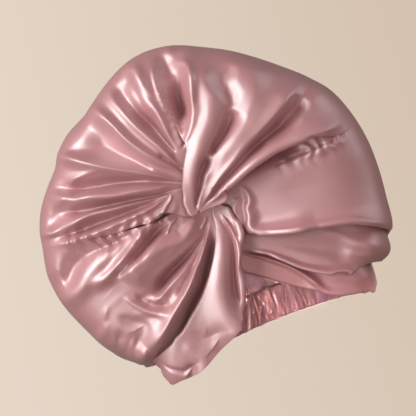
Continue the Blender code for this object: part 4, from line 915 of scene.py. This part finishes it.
flap = {
    "node": "flap",
    "slot": "flap_satin",
    "cut": (0.115, 0.08),
    "cutArea": 0.0068,
    "restsOn": ["lower_pleats_cloth"],
    "grid": (90, 70, 90, 0),
    "outline": "flapHem",
    "gathered": False,
    "pole": ((4.5, 5.5), 40.0),
    "start": (4.0, 4.0),
    "edges": ("fold", "fold"),
    "depth": (2.6, 1.5, 10.0, 60.0),
    "firstEdge": (
        (3, 240), (7.7, 254), (14, 256), (20.2, 253), (29.4, 249.9), (42, 246.6), (52, 243.8), (63, 240.5),
        (80, 236.6), (101, 232), (117, 227.4), (131, 223.6),
    ),
    "secondEdge": (
        (8, 352), (11.5, 344), (14, 328), (18.3, 313.6), (23.7, 304), (28.1, 297.3), (32, 292.6),
        (38, 285.3), (45.7, 278.2), (57.4, 270.8), (68.4, 266.7), (84, 262.7), (98.2, 260.2),
    ),
    "folds": (
        (5, 8, 9, 2, ((266, 14), (263, 24), (258, 36), (253.5, 50), (251, 66), (253, 82), (257, 96))),
        (-6, 2.4, 2.6, 2, ((284, 9), (281, 16), (278.5, 25), (273, 33), (268.5, 42), (263.6, 55), (261, 70),
            (260.5, 84))),
        (3.5, 2, 2, 2, ((300, 8), (293, 14), (289, 21), (286, 27), (280, 36), (273, 46), (268, 56))),
        (-4, 1.6, 1.8, 2, ((302, 12), (294, 19), (289, 26), (285.5, 31))),
        (3, 2.4, 2.4, 2, ((308, 17), (299, 24), (292, 29), (286.5, 35), (281, 41), (275, 49))),
        (-2.5, 8, 8, 2, ((236, 98), (243, 104), (250, 102))),
        (2.5, 7, 7, 2, ((234, 108), (239, 116), (243, 122))),
        (-3, 2.6, 2.6, 2, ((227, 128), (231, 131), (236, 131), (239, 128))),
    ),
}

sideRight = {
    "node": "side_right",
    "slot": "side_right_satin",
    "cut": (0.18, 0.17),
    "cutArea": 0.0225,
    "restsOn": ["crown_right_cloth"],
    "grid": (110, 50, 70, 50),
    "start": (6.0, 6.0),
    "edges": ("fold", "seam"),
    "depth": (6.5, 0.0, 30.0, 105.0),
    "firstEdge": (
        (5, -4), (9, -8), (12.1, -17), (14.1, -34.8), (19.1, -47.5), (24.2, -55.4), (28.7, -60.2),
        (33, -62.2), (38.7, -57.5), (45, -51), (52.7, -45.3), (63, -40.5), (85, -33.3), (97, -31.4),
        (110, -30), (125, -30.5), (141, -31),
    ),
    "secondEdge": (
        (5, 26), (8, 30), (16, 34), (31, 35), (41, 31.5), (52, 27), (61, 24.5), (77, 19), (93, 14.5),
        (101, 12), (108, 9.8), (115, 7.9), (122, 6.6), (132, 6),
    ),
    "puckers": rightSeamPuckers,
    "folds": rightSeamFolds + (
        (6, 5, 3.4, 2, ((17, 25), (7, 27.5), (-3, 29), (-14, 29), (-25, 27), (-36, 29.4), (-48, 31.6),
            (-52.5, 37), (-48.5, 46), (-42, 58), (-37.5, 70), (-33.5, 84))),
        (2.2, 1.6, 1.6, 2, ((-60.5, 33), (-56.5, 38), (-49.5, 46), (-43.6, 53.5), (-38.9, 64),
            (-31.8, 86), (-30, 98), (-28.8, 110), (-29.3, 124))),
        (-3.5, 3, 3, 2, ((8, 21), (-8, 23), (-26, 22), (-42, 25), (-52, 28))),
        (3, 2.4, 3, 2, ((2, 18), (-10, 18), (-22, 16), (-42, 18))),
        (-9, 9, 7, 2, ((36, 14), (33, 30), (27, 45), (22, 60), (17.5, 74), (13.5, 88))),
        (3, 4, 5, 2, ((-50, 46), (-42, 58), (-36, 74), (-31.5, 90), (-29, 105), (-28, 134))),
        (-2, 14, 14, 2, ((-8, 52), (-12, 72), (-14, 92), (-15, 118))),
    ),
}

sideTuck = {
    "node": "side_tuck",
    "slot": "side_tuck_satin",
    "cut": (0.14, 0.075),
    "cutArea": 0.0077,
    "restsOn": ["side_right_cloth"],
    "grid": (60, 46, 60, 30),
    "start": (36.0, 27.0),
    "edges": ("hem", "plain"),
    "depth": (11.5, 6.0, 52.0, 141.0),
    # where the cloth swells out beside its hem: angle, spread, lift, reach where it starts and is full
    "bulges": ((-37.5, 4.6, 7.5, 104.0, 136.0),),
    "firstEdge": (
        (36, -84), (40, -77), (47, -69.5), (54, -64.5), (68, -60.5), (83, -58), (95, -55.5),
        (105.5, -53.2), (123, -48.8), (131, -45), (141, -42),
    ),
    "secondEdge": (
        (27, -80), (31, -66), (36, -56), (42, -47), (48, -40), (56, -34.5), (63, -31), (80, -26.5),
        (95, -24.5), (110, -24.5), (125, -26), (141, -27),
    ),
    "folds": (
        (2.5, 6, 6, 2, ((-36, 90), (-36, 104), (-38, 118))),
        (-2, 6, 6, 2, ((-52, 60), (-47, 78), (-43, 98))),
        (4, 1.7, 1.5, 2, ((-79.5, 38), (-75.3, 41.5), (-68.7, 47.5), (-63.6, 55), (-59.6, 69), (-57.2, 84),
            (-54.7, 96), (-52.5, 106), (-48.5, 120))),
        (2, 4, 4, 2, ((-42, 112), (-42, 122), (-41, 132))),
    ),
}

frontBand = {
    "node": "front_band",
    "slot": "front_band_satin",
    "satin": "bandSatin",
    "cut": (0.13, 0.05),
    "cutArea": 0.0048,
    "restsOn": ["nape_band_cloth"],
    "grid": (44, 46, 60, 26),
    "outline": "bandOutline",
    "gathered": False,
    "start": (46.0, 33.0),
    "edges": ("hem", "plain"),
    "depth": (18.8, 4.5, 90.0, 140.0),
    "firstEdge": (
        (46, -98), (51, -91.5), (57, -86), (63, -80.8), (72.6, -74.9), (84, -70), (97, -65.4), (110, -62),
        (122, -59), (134, -55), (145.6, -51),
    ),
    "secondEdge": (
        (33, -92), (36, -82), (41, -72), (48, -63), (58, -57.5), (72, -54), (90, -50.5), (110, -46.5),
        (125, -43.5), (140, -42),
    ),
    "folds": (
        (4.2, 2.2, 1.6, 2, ((-84, 40), (-77.6, 44.6), (-71, 52), (-65, 64), (-60.8, 80), (-60, 94))),
        (-2, 6, 6, 2, ((-60, 104), (-57, 116), (-53, 130))),
    ),
}

print("dressing the pouch")
for panel in (crownLeft, crownRight, lowerPleats, flap, sideRight, sideTuck, frontBand):
    dressPanel(panel)

napeCasing = {
    "node": "nape_band",
    "slot": "nape_satin",
    "satin": "casingSatin",
    "cut": (0.33, 0.034),
    "cutArea": 0.0106,
    "restsOn": ["crown_left_cloth", "crown_right_cloth"],
    "begin": 12.0,  # where it begins and ends round the ring, in degrees
    "end": 205.0,
    "grid": (1100, 34),
    "wall": 1.2,
    "pitch": 12.5,  # from one gather to the next
    "height": 3.6,
    "sharp": 0.95,
    "forkSharp": 0.9,
    "forkPitch": 1.5,  # forks to a gather, and how far they turn as they cross the casing
    "forkTurn": 2.4,
    "forksWhere": (-0.1, 0.5),
    "gatherShare": 1.5,  # shares of the height: gathers, forks, and how deep both sit
    "forkShare": 0.55,
    "sunkShare": 0.8,
    "evenShare": 0.85,
    "puff": 2.6,  # how far its middle stands out, how far its edges lie in, how far gathers pass them
    "edgesIn": 1.2,
    "edgeSpread": 0.7,
    # smooth chance along it: amount, cell round the ring, cells across, where it starts, seed
    "lean": (1.5, 11.0, 0.0, 0.3, 3),
    "drift": (0.9, 14.0, 0.0, 0.6, 8),
    "uneven": (0.5, 8.0, 2.2, 0.0, 6),
    "forkSway": (1.4, 9.0, 1.5, 0.0, 12),
    "forkPlaces": (1.0, 7.0, 1.8, 0.0, 15),
    # how far its two ends are drawn in, and between which places
    "beginIn": (2.4, 12.0, 24.0),
    "endIn": (5.0, 165.0, 186.0),
}


def casingPoints(casing, columns, rows):
    # the ruched tube round the back of the head, its gathers leaning and forking as they cross it
    place, height = np.meshgrid(np.linspace(casing["begin"], casing["end"], columns + 1),
                                np.linspace(0.0, 1.0, rows + 1))
    low, high = (smoothColumn(pouch["napeLevels"], column, place) for column in (1, 2))
    turn = np.radians(place)
    run = turn * (pouch["rimHalfWidth"] + pouch["rimHalfDepth"]) / 2
    across = 2 * height - 1

    def chance(key):
        amount, cell, cellsAcross, start, seed = casing[key]
        return amount * softNoise(run / cell, height * cellsAcross + start, seed)

    phase = np.pi * run / casing["pitch"] + chance("drift") + chance("lean") * across
    ridge = 1 - np.abs(np.sin(phase)) ** casing["sharp"]
    # some gathers end half way up, others fork or stand proud of the rest
    forkPhase = casing["forkPitch"] * phase + casing["forkTurn"] * height + chance("forkSway")
    fork = 1 - np.abs(np.sin(forkPhase)) ** casing["forkSharp"]
    fork = fork * softStep(chance("forkPlaces"), *casing["forksWhere"])
    relief = casing["gatherShare"] * ridge * (casing["evenShare"] + chance("uneven"))
    relief = relief + casing["forkShare"] * fork - casing["sunkShare"]
    out = casing["puff"] * np.sin(np.pi * height) - casing["edgesIn"] + casing["height"] * relief
    (beginIn, *beginSpan), (endIn, *endSpan) = casing["beginIn"], casing["endIn"]
    out = out - beginIn * (1 - softStep(place, *beginSpan)) - endIn * softStep(place, *endSpan)
    x = (pouch["rimHalfWidth"] + out) * np.cos(turn)
    y = (pouch["rimHalfDepth"] + out) * np.sin(turn)
    z = low + (high - low) * height + casing["edgeSpread"] * ridge * across
    return np.stack([x, y, z], -1)


casingGrid = [count for count in napeCasing["grid"]]
finishPiece(napeCasing, casingPoints(napeCasing, *casingGrid), napeCasing["wall"])

studio = {
    # camera: what it looks at, its distance, the width that it sees there, its roll in degrees
    "aim": (-0.00485, 0.0, 0.1163),
    "distance": 2.042,
    "width": 0.3313,
    "roll": 24.0,
    # the paper glows in a colour that runs from paperBright to paperDim: a painted fall of light, brighter to
    # the upper left and dimmer to the lower right
    "paperBright": (0.800, 0.684, 0.580),
    "paperDim": (0.672, 0.545, 0.440),
    "paperGlow": 0.97,  # towards the camera, and less towards the cloth, which the lamps light
    "paperFill": 0.22,
    "paperBase": (0.05, 0.045, 0.04, 1.0),
    "paperRough": 0.9,
    "paperShine": 0.05,
    "lightFallShift": (0.5, 0.0, 0.42),  # where the painted fall of light turns from bright to dim, and how fast
    "lightFallScale": (0.9, 0.0, -0.35),
    "grainScale": 900.0,
    "grainHeight": 0.02,
    # the sweep, in metres: floor under the origin, half width, rows of the floor, bend, top of the wall
    "floorDrop": 0.55,
    "paperHalfWidth": 8.0,
    "floorRows": (-7.0, -3.0, 0.0, 3.2),
    "bendRadius": 1.6,
    "bendSteps": 12,
    "wallTop": 7.0,
    "air": (0.95, 0.80, 0.82),
    "airLight": 0.12,
    "lightAim": (0.0, -0.03, 0.115),
    # name, place, size, power, colour
    "lights": (
        ("keySoftbox", (-0.98, -0.95, 1.24), (1.40, 1.40), 39.0, (1.0, 0.98, 0.98)),
        ("leftSoftbox", (-1.35, -1.15, 0.30), (0.7, 1.2), 12.0, (1.0, 0.98, 0.98)),
        ("rightSoftbox", (1.60, 0.00, 0.45), (0.6, 1.2), 5.0, (1.0, 0.94, 0.95)),
        ("frontFill", (0.40, -1.80, -0.18), (1.3, 1.3), 18.5, (1.0, 0.92, 0.93)),
        ("upperFill", (1.20, -1.10, 1.10), (1.2, 1.2), 2.0, (1.0, 0.94, 0.95)),
    ),
    # low lamps behind a honeycomb grid, for the casing and the cloth above it: name, place, aim, size, power
    "gridLamps": (
        ("casingLamp", (0.06, -1.00, -0.22), (0.042, 0.085, 0.020), (0.130, 0.060), 0.029),
        ("innerLamp", (0.01, -1.00, -0.10), (0.005, 0.090, 0.039), (0.030, 0.030), 0.0075),
    ),
    "gridSpread": 1.5,  # of their beam, in degrees
}


def makePaper():
    paper = bpy.data.materials.new("studioPaper")
    paper.use_nodes = True
    nodes, links = paper.node_tree.nodes, paper.node_tree.links
    shader = nodes["Principled BSDF"]
    shader.inputs["Base Color"].default_value = studio["paperBase"]
    shader.inputs["Roughness"].default_value = studio["paperRough"]
    shader.inputs["Specular IOR Level"].default_value = studio["paperShine"]
    place = nodes.new("ShaderNodeTexCoord")
    spread = nodes.new("ShaderNodeMapping")
    spread.inputs["Location"].default_value = studio["lightFallShift"]
    spread.inputs["Rotation"].default_value = (0.0, math.radians(studio["roll"]), 0.0)
    spread.inputs["Scale"].default_value = studio["lightFallScale"]
    # painted fall of light: the glow colour runs from bright to dim across the paper
    fall = nodes.new("ShaderNodeTexGradient")
    tint = nodes.new("ShaderNodeMix")
    tint.data_type = "RGBA"
    tint.inputs["A"].default_value = (*studio["paperBright"], 1.0)
    tint.inputs["B"].default_value = (*studio["paperDim"], 1.0)
    links.new(place.outputs["Object"], spread.inputs["Vector"])
    links.new(spread.outputs["Vector"], fall.inputs["Vector"])
    links.new(fall.outputs["Fac"], tint.inputs["Factor"])
    links.new(tint.outputs["Result"], shader.inputs["Emission Color"])
    seen = nodes.new("ShaderNodeLightPath")
    glow = nodes.new("ShaderNodeMapRange")
    glow.inputs["To Min"].default_value = studio["paperFill"]
    glow.inputs["To Max"].default_value = studio["paperGlow"]
    links.new(seen.outputs["Is Camera Ray"], glow.inputs["Value"])
    links.new(glow.outputs["Result"], shader.inputs["Emission Strength"])
    grain = nodes.new("ShaderNodeTexNoise")
    grain.inputs["Scale"].default_value = studio["grainScale"]
    bump = nodes.new("ShaderNodeBump")
    bump.inputs["Strength"].default_value = studio["grainHeight"]
    links.new(grain.outputs["Fac"], bump.inputs["Height"])
    links.new(bump.outputs["Normal"], shader.inputs["Normal"])
    return paper


def makeStage():
    # one sheet of paper: floor, sweep and back wall, lit by itself so that it stays pale and plain
    rows = [(depth, 0.0) for depth in studio["floorRows"]]
    bendFrom, radius, steps = studio["floorRows"][-1], studio["bendRadius"], studio["bendSteps"]
    for step in range(1, steps + 1):
        bend = math.radians(90 * step / steps)
        rows.append((bendFrom + radius * math.sin(bend), radius * (1 - math.cos(bend))))
    rows.append((bendFrom + radius, studio["wallTop"]))
    points = [(side * studio["paperHalfWidth"], depth, height - studio["floorDrop"])
              for depth, height in rows for side in (-1, 1)]
    faces = [(2 * i, 2 * i + 1, 2 * i + 3, 2 * i + 2) for i in range(len(rows) - 1)]
    mesh = bpy.data.meshes.new("paper_sweep")
    mesh.from_pydata(points, [], faces)
    mesh.polygons.foreach_set("use_smooth", np.ones(len(faces), bool))
    mesh.materials.append(makePaper())
    sweep = bpy.data.objects.new("paper_sweep", mesh)
    bpy.context.scene.collection.objects.link(sweep)


def placeLamp(name, place, aim, size, power, spread=180.0, colour=(1.0, 1.0, 1.0)):
    lamp = bpy.data.lights.new(name, "AREA")
    lamp.shape = "RECTANGLE"
    lamp.size, lamp.size_y = size
    lamp.energy, lamp.spread, lamp.color = power, math.radians(spread), colour
    holder = bpy.data.objects.new(name, lamp)
    holder.location = place
    holder.rotation_euler = (Vector(aim) - Vector(place)).to_track_quat("-Z", "Y").to_euler()
    holder.visible_glossy = not name.endswith("Fill")  # a fill makes no highlight
    bpy.context.scene.collection.objects.link(holder)


def makeLights():
    for name, place, size, power, colour in studio["lights"]:
        placeLamp(name, place, studio["lightAim"], size, power, colour=colour)
    for name, place, aim, size, power in studio["gridLamps"]:
        placeLamp(name, place, aim, size, power, spread=studio["gridSpread"])
    world = bpy.data.worlds.new("studioAir")
    bpy.context.scene.world = world
    world.use_nodes = True
    air = world.node_tree.nodes["Background"]
    air.inputs["Color"].default_value = (*studio["air"], 1.0)
    air.inputs["Strength"].default_value = studio["airLight"]


def makeCamera():
    # level with what it looks at, and rolled, as the bonnet lies turned in the picture
    lens = bpy.data.cameras.new("frontCamera")
    lens.sensor_width = 36.0
    lens.lens = lens.sensor_width * studio["distance"] / studio["width"]
    lens.clip_end = 60.0
    camera = bpy.data.objects.new("frontCamera", lens)
    stand = Vector(studio["aim"]) - Vector((0.0, studio["distance"], 0.0))
    level = Vector((0.0, 1.0, 0.0)).to_track_quat("-Z", "Y").to_matrix().to_4x4()
    roll = Matrix.Rotation(math.radians(-studio["roll"]), 4, "Z")
    camera.matrix_world = Matrix.Translation(stand) @ level @ roll
    bpy.context.scene.collection.objects.link(camera)
    bpy.context.scene.camera = camera


bpy.context.scene.view_settings.view_transform = "Standard"
makeStage()
makeLights()
makeCamera()
print("studio ready")
